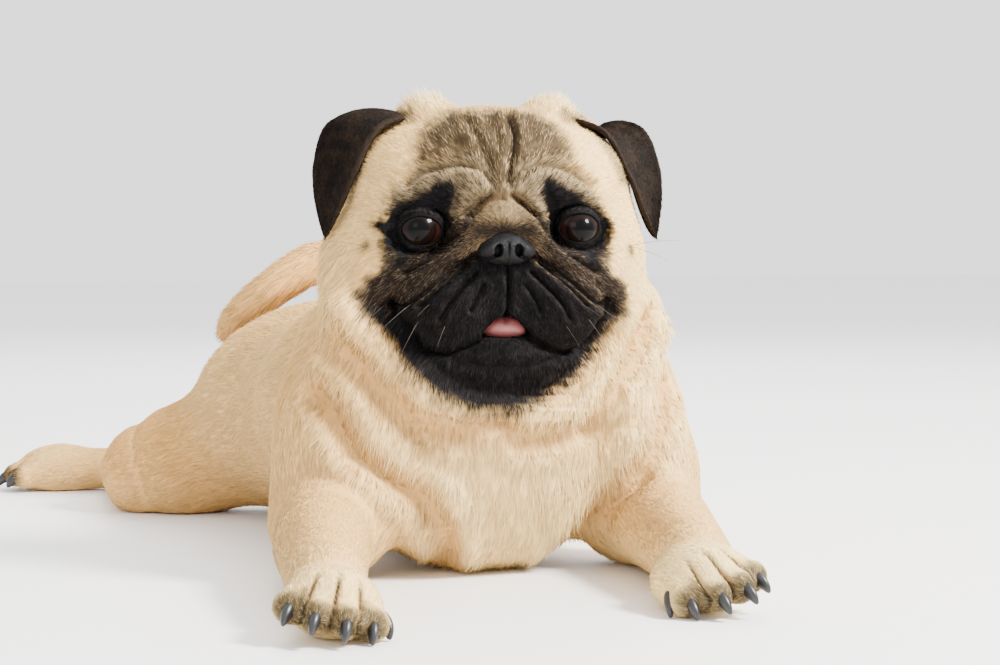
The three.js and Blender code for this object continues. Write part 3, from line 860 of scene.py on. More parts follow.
def ear_places(points):
    """One on the flaps of the ears and nothing on the head, and the same for their front edges."""
    rings = EAR_RINGS * EAR_AROUND
    found = [ear_surface.find(point) for point in points]
    gap = np.array([hit[2] for hit in found])
    index = np.array([hit[1] for hit in found])
    length = np.where(index < rings, index // EAR_AROUND / (EAR_RINGS - 1), index - rings)
    flap = smooth(-gap, -2.4, -0.5) * smooth((1 - np.cos(length * np.pi)) / 2, EAR_ROOT, EAR_FLAP)
    edge = smooth(-np.cos(index % EAR_AROUND / EAR_AROUND * 2 * np.pi), 0.85, 0.97)
    return np.stack([flap, flap * edge], 1)


def face_plane(local):
    """Distance from the middle of the markings, which lean to one side below, and height."""
    across = local[:, 0] - MASK_LEAN * np.minimum(local[:, 2] + 38, 0)
    return np.stack([np.abs(across) * (1 + MASK_SHIFT * np.sign(across)), local[:, 2]], 1)


def crest_share(local):
    """One on top of the two crests of the head, nothing away from them."""
    gaps = [np.linalg.norm(local - on_side(CREST_TOP, side), axis=1) for side in SIDES]
    return smooth(-np.min(gaps, axis=0), -20, -8)


def body_tone(points, shade_in_folds, shares, local):
    """Fawn, paler on chest and crests, paler on the left side as painted light, warmer on legs and tail, and
    tan painted shade in the folds.
    """
    x, y, z = points.T
    legs = sum(share for name, share in shares.items() if name in LIMBS)
    pale = PALE["all"] + PALE["patches"] * ripple(points, PATCH_SIZE)
    pale += smooth(-y, *CHEST_FRONT) * smooth(-z, *CHEST_DOWN) * PALE["chest"]
    # painted light: paler on the left side and front, where the key light falls
    left = PALE["left"] * smooth(x, *LIT_LEFT_SIDE) * smooth(-y, *LIT_LEFT_FRONT)
    pale += left + PALE["crests"] * crest_share(local)
    pale -= PALE["back"] * smooth(z, *BACK_UP) * smooth(y, *BACK_BEHIND) + PALE["legs"] * legs
    main = mix(FAWN, CREAM, np.clip(pale, 0, 1))
    main = mix(main, APRICOT, LEG_WARMTH * legs * smooth(z, *LEG_UP))
    main = mix(main, APRICOT, TAIL_WARMTH * shares["tail"])
    # tan painted shade in the folds
    return mix(main, FOLD_SHADE_TAN, np.clip(FOLD_SHADE_SHARE * shade_in_folds, 0, MOST_FOLD_SHADE))


def face_layers(points, shares, local):
    """Layers of the face's markings and of painted shade in its creases, from the forehead down: share, main
    colour, odd colour, odd hairs.
    """
    flat = face_plane(local)
    across, height = flat.T
    wander = ripple(points, 9) * 1.5 + ripple(points, 3.1)
    on_head = smooth(shares["head"], 0.2, 0.5)
    forward = smooth(-local[:, 1], 13, 24)
    front = forward * on_head

    patch = smooth(outline_depth(flat, FOREHEAD) + wander, -5, 4) * smooth(-local[:, 1], -2, 16) * on_head
    streak = np.exp(-((local[:, 0] - 5.5) / 3.6) ** 2) + 0.7 * np.exp(-((across - 17) / 4) ** 2)
    streaked = np.clip(0.14 - 0.12 * streak + 0.13 * ripple(points, 7), 0.02, 0.4)
    brow = smooth(outline_depth(flat, BROW) + wander, -3.5, 2) * front
    mask_depth = outline_depth(flat, MASK) + wander
    mask = smooth(mask_depth, -3, 2) * forward * smooth(shares["head"], 0.04, 0.2)
    fringe = mask * (1 - smooth(mask_depth, 0, 6)) * (height < -6)
    roll = smooth(-line_distance(flat, ROLL_LINE), -10.5, -7) * front
    roll_many = np.clip(0.74 - 0.022 * across, 0.2, 0.8) + 0.06 * ripple(points, 6)
    middle = np.exp(-(across / 8) ** 2) * smooth(height, 6, 12) * smooth(-height, -25, -16) * front
    streaks = mix(BRINDLE, GRIZZLE, smooth(ripple(points, 2.2), -0.3, 0.3))
    above_nose = np.exp(-((height - 3.5) / 3.5) ** 2) * smooth(-across, -17, -12) * front
    # dark hair at the ear roots, partly the ear's painted shadow on the head
    roots = smooth(-line_distance(flat, EAR_ROOT_HAIR_AND_SHADOW) + wander * 0.7, -5.5, -1.5)
    roots = roots * smooth(-local[:, 1], -12, 2) * on_head
    return [
        (patch * 0.96, BRINDLE, GRIZZLE, streaked),
        (brow, BRINDLE, GRIZZLE, np.clip(0.60 + 0.25 * ripple(points, 5), 0.1, 0.9)),
        # grey hairs among the black of the mask, partly painted sheen
        (mask, BLACK, SLATE_AND_SHEEN, 0.3 + 0.2 * ripple(points, 8)),
        (fringe * 0.8, SMOKE, GRIZZLE, 0.25),
        (roll, SOOT, mix(GOLD, GOLD_DARK, smooth(across, 4, 26)), roll_many),
        (0.85 * middle, GOLD, streaks, 0.45),
        (0.9 * above_nose, SOOT, SMOKE, 0.3),
        # painted shade: near black along the creases of the face and the edge of the upper lip
        (fold_shade_lines(local) * front, DEEP_SHADE, SOOT, 0.15),
        (0.75 * roots, SMOKE, GRIZZLE, 0.3),
        *((0.8 * np.exp(-((np.linalg.norm(local - mole, axis=1) / MOLE_SIZE) ** 2)), BLACK, BLACK, 0.3)
          for mole in MOLES),
    ]


def foot_layers(points, shares):
    """Layers of dark hair on the ends of the toes, and of painted shade in the creases between them."""
    layers = []
    for name, limb in LIMBS.items():
        in_foot = to_foot(points, limb["foot"])
        nearest = np.argmin([np.abs(in_foot[:, 0] - x) for x, _ in TOES], axis=0)
        tips = np.array([tip for _, tip in TOES])[nearest]
        on_foot = smooth(shares[f"{name}_foot"], 0.25, 0.5)
        end = smooth(tips + 9 - in_foot[:, 1] + ripple(points, 4) * 1.2, -2, 6) * on_foot
        layers += [
            (0.9 * end, SOOT, GRIZZLE, 0.18),
            # painted shade in the creases between the toes
            (0.95 * toe_creases(in_foot) * on_foot, DEEP_SHADE, SMOKE, 0.4),
        ]
    return layers


def markings(points, shade_in_folds, shares, ears):
    """Main colour, colour of the odd hairs among it, and how many hairs those are."""
    local = to_head(points)
    flap, edge = ears.T
    ear_layers = [
        (flap, EAR_BLACK, EAR_BROWN, np.clip(0.4 + 0.4 * ripple(points, 12), 0, 1)),
        (0.8 * edge, EAR_BROWN, EAR_EDGE, 0.5),
    ]
    main = body_tone(points, shade_in_folds, shares, local)
    odd, many = main * ODD_TINT, np.full(len(points), ODD_SHARE)
    for share, tone, odd_tone, count in [
        *face_layers(points, shares, local), *ear_layers, *foot_layers(points, shares),
    ]:
        main, odd = mix(main, tone, share), mix(odd, odd_tone, share)
        many = many * (1 - share) + count * share
    return main, odd, many


# Painted shade in the folds: how far out to probe, and where the shade starts and fades
CREVICE, CREVICE_NEAR, CREVICE_FADE = 8.0, 0.82, 0.7
PRESSED_FULL, PRESSED_SHADE = 5, 0.9


def fold_shade(points, normals):
    """Share of tan painted shade: how far each point lies in a fold, one in the depth of a narrow fold,
    nothing in the open.
    """
    away = part_distances(points + normals * CREVICE)[0]
    narrow = np.clip((CREVICE * CREVICE_NEAR - away) / (CREVICE * CREVICE_FADE), 0, 1)
    pressed = np.clip(-neck_height(points, normals) / PRESSED_FULL, 0, 1)
    return np.maximum(narrow, pressed * PRESSED_SHADE)


skin_at = vectors_of(skin.data.vertices, "co") / MM
skin_normals = vectors_of(skin.data.vertices, "normal")
count = len(skin_at)
skin_shares = part_shares(part_distances(skin_at)[1])
skin_shade_in_folds = fold_shade(skin_at, skin_normals)
on_ears = np.zeros((count, 2))
near_ears = np.flatnonzero((skin_shares["head"] > 0.3) & (np.abs(to_head(skin_at)[:, 0]) > 30))
on_ears[near_ears] = ear_places(skin_at[near_ears])
main, odd, many = markings(skin_at, skin_shade_in_folds, skin_shares, on_ears)
local = to_head(skin_at)
lid_ring = np.full(count, FAR)
for side in SIDES:
    u, v, w, _ = to_eye(local, side)
    lid_ring = np.minimum(lid_ring, np.where(w > 0, opening(u, v, side), FAR))
rim = smooth(-lid_ring, -1.45, -1.15)
in_mouth = mouth_share(local)
# the inside of the open mouth painted near black, as its shade
skin_colour = mix(mix(mix(main, odd, many * 0.6), LID, rim), DEEP_SHADE, in_mouth)


def paint(piece, name, colours):
    """A colour for every point of a piece, which its material reads by name."""
    layer = piece.data.color_attributes.new(name, "FLOAT_COLOR", "POINT")
    rgba = np.concatenate([colours, np.ones((len(colours), 1))], 1)
    layer.data.foreach_set("color", rgba.astype(np.float32).ravel())


paint(skin, "coat", skin_colour)


def feed(tree, node, feeds):
    """Sets or links a node's inputs, each from a value or from another node's output."""
    for socket, value in feeds.items():
        if isinstance(value, bpy.types.NodeSocket):
            tree.links.new(value, node.inputs[socket])
        else:
            node.inputs[socket].default_value = value


def add(tree, kind, feeds=None, **settings):
    """A new node of a tree, with its settings and its inputs."""
    node = tree.nodes.new(kind)
    for setting, value in settings.items():
        setattr(node, setting, value)
    feed(tree, node, feeds or {})
    return node


def material(name):
    """A new material with its node tree and its shader."""
    made = bpy.data.materials.new(name)
    made.use_nodes = True
    return made, made.node_tree, made.node_tree.nodes["Principled BSDF"]


def relief(tree, shader, height, strength, distance):
    """Raises a finish a little by a height that wanders over it."""
    bump = add(tree, "ShaderNodeBump", {"Strength": strength, "Distance": distance, "Height": height})
    feed(tree, shader, {"Normal": bump.outputs["Normal"]})


def tone_group():
    """Shader group: a coat's colour, made uneven at the scale of locks and of hairs."""
    group = bpy.data.node_groups.new("hair_tone", "ShaderNodeTree")
    for name, way, kind in (
        ("Colour", "INPUT", "Color"), ("Lock scale", "INPUT", "Float"), ("Hair scale", "INPUT", "Float"),
        ("Amount", "INPUT", "Float"), ("Colour", "OUTPUT", "Color"), ("Height", "OUTPUT", "Float"),
    ):
        group.interface.new_socket(name, in_out=way, socket_type=f"NodeSocket{kind}")
    entry = add(group, "NodeGroupInput").outputs
    place = add(group, "ShaderNodeTexCoord").outputs["Object"]
    locks, hairs = (
        add(group, "ShaderNodeTexNoise", {"Vector": place, "Scale": entry[scale]}).outputs["Fac"]
        for scale in ("Lock scale", "Hair scale")
    )
    both = add(group, "ShaderNodeMath", {0: locks, 1: hairs}, operation="ADD").outputs[0]
    centred = add(group, "ShaderNodeMath", {0: both, 1: 1.0}, operation="SUBTRACT").outputs[0]
    scaled = add(
        group, "ShaderNodeMath", {0: centred, 1: entry["Amount"], 2: 1.0}, operation="MULTIPLY_ADD",
    ).outputs[0]
    tint = add(group, "ShaderNodeVectorMath", {0: entry["Colour"], "Scale": scaled}, operation="SCALE")
    add(group, "NodeGroupOutput", {"Colour": tint.outputs[0], "Height": hairs})
    return group


hair_tone = tone_group()
HAIR_GLOSS = 0.06


def coat_material(name, lock_scale, hair_scale, amount, roughness, bump):
    """Fur or furred skin: the painted markings, uneven from lock to lock."""
    made, tree, shader = material(name)
    painted = add(tree, "ShaderNodeAttribute", attribute_name="coat").outputs["Color"]
    tone = add(tree, "ShaderNodeGroup", {
        "Colour": painted, "Lock scale": lock_scale, "Hair scale": hair_scale, "Amount": amount,
    }, node_tree=hair_tone).outputs
    feed(tree, shader, {
        "Base Color": tone["Colour"], "Roughness": roughness, "Specular IOR Level": HAIR_GLOSS,
    })
    if bump:
        relief(tree, shader, tone["Height"], bump, 0.0006)
    return made


skin.data.materials.clear()
skin.data.materials.append(coat_material("furred_skin", 60, 900, 0.15, 0.75, 0.4))
LEG_NODES = ("upper_", "forearm_", "forepaw_", "thigh_", "shank_", "hind_")
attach(skin, "root")
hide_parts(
    "head", "lower_jaw", "neck", "torso", "tail", "ear_right", "ear_left",
    *(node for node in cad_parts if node.startswith(LEG_NODES)),
)

# Eyes
# Large round eyes, dark brown with a black pupil and a little brown-red white at the inner corner.
# Each is a ball with a bulging cornea under a wet clear coat, set in its socket behind the lids.
IRIS_RADIUS = 8.2
PUPIL_RADIUS = 4.8
CORNEA_RISE = 0.9
GAZE_OUT = 11
EYE_RINGS, EYE_AROUND = 60, 64
EYE_WHITE = (0.020, 0.0070, 0.0050)
IRIS_BROWN = (0.010, 0.0045, 0.0030)
IRIS_DARK = (0.004, 0.0028, 0.0026)
PUPIL_BLACK = (0.0012, 0.0012, 0.0016)


def ball_points(radius, rings, around):
    """A ball about the origin with its pole along -Y."""
    polar = np.linspace(0, np.pi, rings + 2)[1:-1]
    angle = np.linspace(0, 2 * np.pi, around, endpoint=False)
    ring = np.sin(polar)[:, None] * np.ones(around)
    points = np.stack([
        ring * np.cos(angle),
        -np.cos(polar)[:, None] * np.ones(around),
        ring * np.sin(angle),
    ], -1)
    return np.concatenate([points.reshape(-1, 3), [(0, -1, 0), (0, 1, 0)]]) * radius


eye_material, tree, shader = material("eye")
painted = add(tree, "ShaderNodeAttribute", attribute_name="eye").outputs["Color"]
fibres = add(tree, "ShaderNodeTexNoise", {"Scale": 900}).outputs["Color"]
shade = add(
    tree, "ShaderNodeMix", {"Factor": 0.6, "A": painted, "B": fibres},
    data_type="RGBA", blend_type="MULTIPLY",
)
feed(tree, shader, {
    "Base Color": shade.outputs["Result"], "Roughness": 0.3, "Specular IOR Level": 0.02,
    "Coat Weight": 0.45, "Coat Roughness": 0.02, "Coat IOR": 1.25,
})

for name, side in (("right", -1), ("left", 1)):
    gaze = np.array(rotation(GAZE_OUT * side, "Z"))
    ball = ball_points(1, EYE_RINGS, EYE_AROUND)
    from_pole = np.degrees(np.arccos(np.clip(-ball[:, 1], -1, 1)))
    iris_edge = math.degrees(math.asin(IRIS_RADIUS / EYE_RADIUS))
    pupil_edge = math.degrees(math.asin(PUPIL_RADIUS / EYE_RADIUS))
    bulge = CORNEA_RISE * (1 - smooth(from_pole, 0, iris_edge * 1.1))
    points = ball * (EYE_RADIUS + bulge)[:, None]
    colour = mix(EYE_WHITE, IRIS_DARK, smooth(-from_pole, -iris_edge - 2, -iris_edge + 1))
    colour = mix(colour, IRIS_BROWN, smooth(-from_pole, -iris_edge + 1, -iris_edge + 12))
    colour = mix(colour, PUPIL_BLACK, smooth(-from_pole, -pupil_edge - 3, -pupil_edge + 2))
    points = points @ gaze.T + on_side(EYE_AT, side)
    eyeball = mesh_object(f"eyeball_{name}", from_head(points), lathe_faces(EYE_RINGS, EYE_AROUND))
    outward(eyeball)
    paint(eyeball, "eye", colour)
    eyeball.data.materials.append(eye_material)
    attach(eyeball, "root")
    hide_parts(f"eye_{name}")

# Nose leather
# Broad, bare, grained black leather with two comma-shaped nostrils, wings beside them and a groove between.
# One closed form, pressed in at the nostrils, set in the middle of the face under the roll.
NOSE_AT = (0.8, -60, -5)
NOSE_HALF = (13.9, 10, 7.6)
NOSE_TAPER = 0.30
NOSE_FULLNESS = (0.92, 0.92, 0.88)
NOSE_FACING, NOSE_WINGS, WING_DROP = (0.5, 4), (8, 13.9), 1.0
HOLE_EDGE, SLIT_EDGE = (-1.15, -0.65), (-1.2, -0.3)
GROOVE_WIDTH, GROOVE_FROM = 0.5, (-4.5, -1)
NOSTRIL_AT, NOSTRIL_SIZE = (4.9, -0.9), (2.0, 3.0)
NOSTRIL_SLIT = [(5.2, -2.2), (7.4, -4.4), (10, -4.9), (13.2, -3.6)]
NOSTRIL_DEPTH, SLIT_DEPTH, GROOVE_DEPTH = 6.5, 3.0, 1.1
WING_AT, WING_SIZE, WING_RISE = (9.3, 0.2), (3.6, 3.4), 1.9
NOSE_RINGS, NOSE_AROUND = 120, 130

nose_ball = ball_points(1, NOSE_RINGS, NOSE_AROUND)
nose_ball = np.sign(nose_ball) * np.abs(nose_ball) ** NOSE_FULLNESS
nose = nose_ball * NOSE_HALF
flat = both_sides(nose)
facing = smooth(-nose[:, 1], *NOSE_FACING)
hole = smooth(-np.linalg.norm((flat - NOSTRIL_AT) / NOSTRIL_SIZE, axis=1), *HOLE_EDGE)
slit = smooth(-line_distance(flat, NOSTRIL_SLIT), *SLIT_EDGE)
groove = np.exp(-(nose[:, 0] / GROOVE_WIDTH) ** 2) * smooth(-nose[:, 2], *GROOVE_FROM)
wing = np.exp(-(np.linalg.norm((flat - WING_AT) / WING_SIZE, axis=1)) ** 2)
pressed = NOSTRIL_DEPTH * hole + SLIT_DEPTH * slit * (1 - hole) + GROOVE_DEPTH * groove - WING_RISE * wing
nose[:, 1] += pressed * facing
nose[:, 0] *= 1 - NOSE_TAPER * smooth(nose[:, 2], -1, NOSE_HALF[2])
nose[:, 2] -= WING_DROP * smooth(flat[:, 0], *NOSE_WINGS) * facing
leather = mesh_object("nose_leather", from_head(nose + NOSE_AT), lathe_faces(NOSE_RINGS, NOSE_AROUND))
outward(leather)


def mottled(name, scale, tones, gloss):
    """A finish whose colour wanders between two tones, with the noise and the ramp that make it."""
    made, tree, shader = material(name)
    cloud = add(tree, "ShaderNodeTexNoise", {"Scale": scale})
    ramp = add(tree, "ShaderNodeValToRGB", {"Fac": cloud.outputs["Fac"]})
    for stop, tone in zip(ramp.color_ramp.elements, tones):
        stop.color = (*tone, 1)
    feed(tree, shader, {"Base Color": ramp.outputs["Color"], **gloss})
    return made, tree, shader, cloud, ramp


leather_material, tree, shader, cloud, ramp = mottled(
    "nose_leather", 260, [(0.0016, 0.0016, 0.0020), (0.0095, 0.0098, 0.0110)],
    {"Roughness": 0.45, "Specular IOR Level": 0.16},
)
for stop, position in zip(ramp.color_ramp.elements, (0.35, 0.7)):
    stop.position = position
place = add(tree, "ShaderNodeTexCoord").outputs["Object"]
feed(tree, cloud, {"Vector": place})
grain = add(tree, "ShaderNodeTexVoronoi", {"Scale": 1100, "Vector": place}, feature="DISTANCE_TO_EDGE")
relief(tree, shader, grain.outputs["Distance"], 0.9, 0.0005)
leather.data.materials.append(leather_material)
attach(leather, "root")
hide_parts("nose")

# Tongue
# The tip of a pink, moist tongue that shows as a small arch between the flews and the lower lip.
# A soft closed form, grooved along its middle, that lies on the floor of the mouth.
TONGUE_AT = (1.0, -45.5, -42.6)
TONGUE_HALF = (12.5, 12.5, 7.0)
TONGUE_RINGS, TONGUE_AROUND = 40, 48
TONGUE_GROOVE = 1.1

tongue_ball = ball_points(1, TONGUE_RINGS, TONGUE_AROUND)
tongue_points = tongue_ball * TONGUE_HALF
groove = np.exp(-(tongue_points[:, 0] / 1.6) ** 2) * smooth(tongue_ball[:, 2], 0, 0.6)
tongue_points[:, 2] -= TONGUE_GROOVE * groove
tongue_faces = lathe_faces(TONGUE_RINGS, TONGUE_AROUND)
tongue = mesh_object("tongue_tip", from_head(tongue_points + TONGUE_AT), tongue_faces)
outward(tongue)
tongue_material, tree, shader, papillae, _ = mottled(
    "tongue", 1400, [(0.18, 0.043, 0.043), (0.30, 0.090, 0.086)], {"Roughness": 0.35, "Coat Weight": 0.3},
)
relief(tree, shader, papillae.outputs["Fac"], 0.4, 0.0003)
tongue.data.materials.append(tongue_material)
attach(tongue, "root")
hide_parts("tongue")

# Claws
# Four slate-black horn claws on each foot and a dewclaw inside each forepaw, curved and blunt.
# Each grows out of the end of its toe and bends down to the floor.
CLAW_LENGTH = 10.5
CLAW_ROOT = 3.4
CLAW_TIP = 1.1
CLAW_HEIGHT = 10
CLAW_START, CLAW_END = 12, 70
CLAW_TAPER, CLAW_FLAT, CLAW_DEEP = 2.4, 0.8, 1.1
CLAW_SET_BACK, CLAW_FAN, CLAW_FLOOR = 5.5, 0.7, 0.3
CLAW_RINGS, CLAW_AROUND = 16, 14
DEWCLAW = {"at": (20.5, -4, 12), "turn": 40}


def claw(at, turn):
    """A curved horn that starts at a place in the foot's frame and bends down as it goes forward."""
    steps = np.linspace(0, 1, CLAW_RINGS)
    dips = np.radians(CLAW_START + (CLAW_END - CLAW_START) * steps)
    stride = CLAW_LENGTH / (CLAW_RINGS - 1)
    forward = np.concatenate([[0], np.cumsum(np.cos(dips[:-1])) * stride])
    down = np.concatenate([[0], np.cumsum(np.sin(dips[:-1])) * stride])
    radius = CLAW_TIP + (CLAW_ROOT - CLAW_TIP) * (1 - steps ** CLAW_TAPER)
    angle = np.linspace(0, 2 * np.pi, CLAW_AROUND, endpoint=False)
    lift = np.sin(angle) * CLAW_DEEP
    x = radius[:, None] * (np.cos(angle) * CLAW_FLAT)
    y = -forward[:, None] - radius[:, None] * lift * np.sin(dips)[:, None]
    z = -down[:, None] + radius[:, None] * lift * np.cos(dips)[:, None]
    rings = np.stack([x, y, z], -1).reshape(-1, 3)
    poles = [(0, 0.5, 0), (0, -forward[-1] - 0.4, -down[-1] - 0.6)]
    return np.concatenate([rings, poles]) @ np.array(rotation(turn, "Z")).T + at


claw_points, claw_faces = [], []
claw_size = CLAW_RINGS * CLAW_AROUND + 2
for name, limb in LIMBS.items():
    foot = limb["foot"]
    places = [((x, tip + CLAW_SET_BACK, CLAW_HEIGHT), x * CLAW_FAN) for x, tip in TOES]
    if not foot["heel"]:
        inner = 1 if name.endswith("right") else -1
        places.append((on_side(DEWCLAW["at"], inner), DEWCLAW["turn"] * inner))
    for at, turn in places:
        one = claw(at, turn) @ foot_frame(foot).T + foot["at"]
        one[:, 2] = np.maximum(one[:, 2], CLAW_FLOOR)
        claw_faces.append(lathe_faces(CLAW_RINGS, CLAW_AROUND) + claw_size * len(claw_points))
        claw_points.append(one)
claws = mesh_object("claws", np.concatenate(claw_points), np.concatenate(claw_faces))
outward(claws)
claw_material = mottled(
    "claw_horn", 350, [(0.0035, 0.0035, 0.0042), (0.0075, 0.0080, 0.0100)],
    {"Roughness": 0.42, "Coat Weight": 0.15, "Coat Roughness": 0.2},
)[0]
claws.data.materials.append(claw_material)
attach(claws, "root")

# Coat
# Short, fine, glossy hair in two lengths: velvet on the face, ears and feet, longer on neck, chest and trunk.
# Each tuft is a thin solid blade rooted in the skin, laid along the lie of the coat, dark at its root.
HAIR_LENGTH = {"trunk": 7.5, "head": 4.6, "tail": 8.5, "foot": 2.8, "leg": 4.2}
NECK_LENGTH = 9.5
FACE_LENGTH = 2.1
EAR_LENGTH = 1.9
CREST_LENGTH, RIGHT_CREST_LENGTH, BROW_GAIN = 2.0, 2.0, 1.8
HAIR_WIDTH, WIDTH_GAIN = 0.13, 0.05
CHEST_AT = (-70, 10)
LIE_SPREAD, CHEST_TURN, BACK_DROP, CHEST_DROP, FACE_DROP = 0.004, 0.85, 0.25, 0.9, 0.25
HAIR_CENTRE = (0, -66, 2)
TOEWARD = (0, -1, -0.15)
LENGTH_BLEND = 14
SWIRL, TRUNK_SWIRL, SWIRL_SIZE = 0.12, 0.22, 28
COVER = 1.75
MAX_TUFTS = 48000
PATCH = 0.003


def hair_length(points, shares, ears):
    """Length of the hair at each point, in millimetres, with no step anywhere."""
    length = sum(share * HAIR_LENGTH[part_kind(name)] for name, share in shares.items())
    neck = shares["trunk"] * smooth(-points[:, 1], -90, -20)
    length = length + neck * (NECK_LENGTH - HAIR_LENGTH["trunk"])
    local = to_head(points)
    face = shares["head"] * smooth(-local[:, 1], 16, 34)
    length = length * (1 - face) + FACE_LENGTH * face
    brow = shares["head"] * smooth(local[:, 2], 14, 30) * smooth(-local[:, 1], 10, 30)
    length = length + brow * BROW_GAIN
    length = length + (CREST_LENGTH + RIGHT_CREST_LENGTH * (local[:, 0] < 0)) * crest_share(local)
    return length * (1 - ears[:, 0]) + EAR_LENGTH * ears[:, 0]


def run_along(points, path):
    """Direction of a path where it is nearest to each point."""
    nearest = np.argmin([np.linalg.norm(points - knot, axis=1) for knot in path], axis=0)
    nearest = np.minimum(nearest, len(path) - 2)
    return unit(path[nearest + 1] - path[nearest])


def lie(points, normals, shares, ears):
    """Direction that the hair lies in: back from the nose, down the neck, along the trunk, down the legs."""
    x, y, z = points.T
    front = smooth(-y, *CHEST_AT)
    trunk = np.stack([x * LIE_SPREAD, 1 - CHEST_TURN * front, -BACK_DROP - CHEST_DROP * front], 1)
    local = to_head(points)
    away = local - HAIR_CENTRE
    away[:, 2] -= FACE_DROP * np.linalg.norm(away, axis=1) * smooth(-local[:, 2], -20, 20)
    total = unit(trunk) * shares["trunk"][:, None] + unit(away) @ head_frame.T * shares["head"][:, None]
    for name, limb in LIMBS.items():
        for length in ("upper", "lower"):
            knots = np.array(limb[length], float)[:, :3]
            weight = shares[name] * np.exp(-(chain_distance(points, limb[length]) / LENGTH_BLEND) ** 2)
            total += weight[:, None] * unit(knots[-1] - knots[0])
        total += shares[f"{name}_foot"][:, None] * unit(foot_frame(limb["foot"]) @ TOEWARD)
    total += shares["tail"][:, None] * run_along(points, tail_knots[:, :3])
    for side in SIDES:
        run = run_along(local, spline(on_side(EAR_PATH, side), np.linspace(0, 1, 20))) @ head_frame.T
        total = mix(total, run, ears[:, 0] * (local[:, 0] * side > 0))
    swirl = (SWIRL + TRUNK_SWIRL * shares["trunk"]) * ripple(points, SWIRL_SIZE)
    total = unit(total) + np.cross(normals, unit(total)) * swirl[:, None]
    return unit(total - normals * np.einsum("ij,ij->i", total, normals)[:, None])


def unwrap(points, start, end):
    """Place of points on a skin unrolled about a line: round it, and along it."""
    start, end = np.array(start, float), np.array(end, float)
    along = unit(end - start)
    aside = unit(np.cross(along, (0.2, 0.1, 1)))
    third = np.cross(along, aside)
    out = points - start
    turn = np.arctan2(out @ third, out @ aside) / (2 * np.pi) + 0.5
    share = (out @ along) / np.linalg.norm(end - start)
    return np.stack([turn, np.clip(share, 0, 1)], 1) * 0.96 + 0.02


UNROLL = {
    "trunk": ((0, -70, 62), (0, 340, 62)),
    "head": ((-14, -64, 160), (14, 78, 166)),
    "tail": ((20, 330, 90), (-60, 290, 150)),
    **{name: (limb["upper"][0][:3], limb["lower"][-1][:3]) for name, limb in LIMBS.items()},
    **{f"{name}_foot": (limb["lower"][-1][:3], limb["foot"]["at"]) for name, limb in LIMBS.items()},
}


BLADE_FACES = np.array([(0, 1, 2), (0, 3, 1), (0, 2, 3), (1, 3, 2)])
PATCH_CORNERS = np.array([(-0.5, -0.5), (0.5, -0.5), (0, -0.2), (0, 0.5)])
ROOT_SHADE, TIP_SHADE = 0.86, 1.04
HAIR_TURN, HAIR_TILT = 0.14, 0.26
HAIR_LIFT, LEG_LIFT, CREST_LIFT = 0.16, 0.08, 0.35
LIFT_SPREAD, LEAST_LIFT, MOST_LIFT = 0.3, 0.02, 0.9
HALF_WIDTH, LENGTH_SPREAD = (0.35, 0.62), (0.72, 1.18)
ROOT_SUNK, BLADE_RIDGE, FLOOR_CLEAR = 0.25, 0.8, 0.2
BARE_RIM, BARE_MOUTH, BARE_BELLY = (-1.2, -1.06), (0, 0.3), (-2.5, -1.2)
HAIR_UNEVEN = 0.06


def grow(name, roots, normals, lies, lengths, lifts, colours, unroll, generator):
    """A piece of coat: one thin closed blade for each root, as a single mesh shaded much as the skin is."""
    count = len(roots)
    turn = generator.normal(0, HAIR_TURN, count)
    side = np.cross(normals, lies)
    lies = unit(lies * np.cos(turn)[:, None] + side * np.sin(turn)[:, None])
    side = np.cross(normals, lies)
    lift = np.clip(generator.normal(lifts, LIFT_SPREAD * lifts), LEAST_LIFT, MOST_LIFT)[:, None]
    half = ((HAIR_WIDTH + WIDTH_GAIN * lengths) * generator.uniform(*HALF_WIDTH, count))[:, None]
    lengths = (lengths * generator.uniform(*LENGTH_SPREAD, count))[:, None]
    foot = roots - normals * ROOT_SUNK
    tip = roots + lies * lengths * np.cos(lift) + normals * lengths * np.sin(lift)
    ridge = roots + normals * half * BLADE_RIDGE
    corners = np.stack([foot + side * half, foot - side * half, ridge, tip], 1)
    corners[..., 2] = np.maximum(corners[..., 2], FLOOR_CLEAR)
    faces = (BLADE_FACES[None] + (np.arange(count) * 4)[:, None, None]).reshape(-1, 3)
    piece = mesh_object(name, corners.reshape(-1, 3), faces)
    shade = np.array([ROOT_SHADE, ROOT_SHADE, ROOT_SHADE, TIP_SHADE])
    paint(piece, "coat", np.clip(colours[:, None] * shade[:, None], 0, 1).reshape(-1, 3))
    tilt = generator.normal(0, HAIR_TILT, (count, 2))
    shading = unit(normals + side * tilt[:, :1] + lies * tilt[:, 1:]).repeat(4, axis=0)
    layer = piece.data.attributes.new("custom_normal", "FLOAT_VECTOR", "POINT")
    layer.data.foreach_set("vector", shading.astype(np.float32).ravel())
    layer = piece.data.uv_layers.new(name="OFBake")
    spots = (unroll[:, None] + PATCH_CORNERS * PATCH).reshape(-1, 2)
    layer.uv.foreach_set("vector", spots[faces.ravel()].astype(np.float32).ravel())
    return piece


corners = triangles_of(skin.data)
a, b, c = skin_at[corners].transpose(1, 0, 2)
areas = np.linalg.norm(np.cross(b - a, c - a), axis=1) / 2
vertex_length = hair_length(skin_at, skin_shares, on_ears)
density = COVER / (vertex_length * (HAIR_WIDTH + WIDTH_GAIN * vertex_length))
belly = smooth(-skin_at[:, 2], *BARE_BELLY)
density *= (1 - smooth(-lid_ring, *BARE_RIM)) * (1 - smooth(in_mouth, *BARE_MOUTH)) * (1 - belly)
expected = density[corners].mean(1) * areas
names = list(skin_shares)
label = np.stack([skin_shares[name] for name in names], 1).argmax(1)
generator = np.random.default_rng(11)
total = int(expected.sum())
chosen = generator.choice(len(corners), total, p=expected / expected.sum())
weights = generator.dirichlet((1, 1, 1), total)
picked = corners[chosen]


def blended(values):
    return np.einsum("ij,ij...->i...", weights, values[picked])


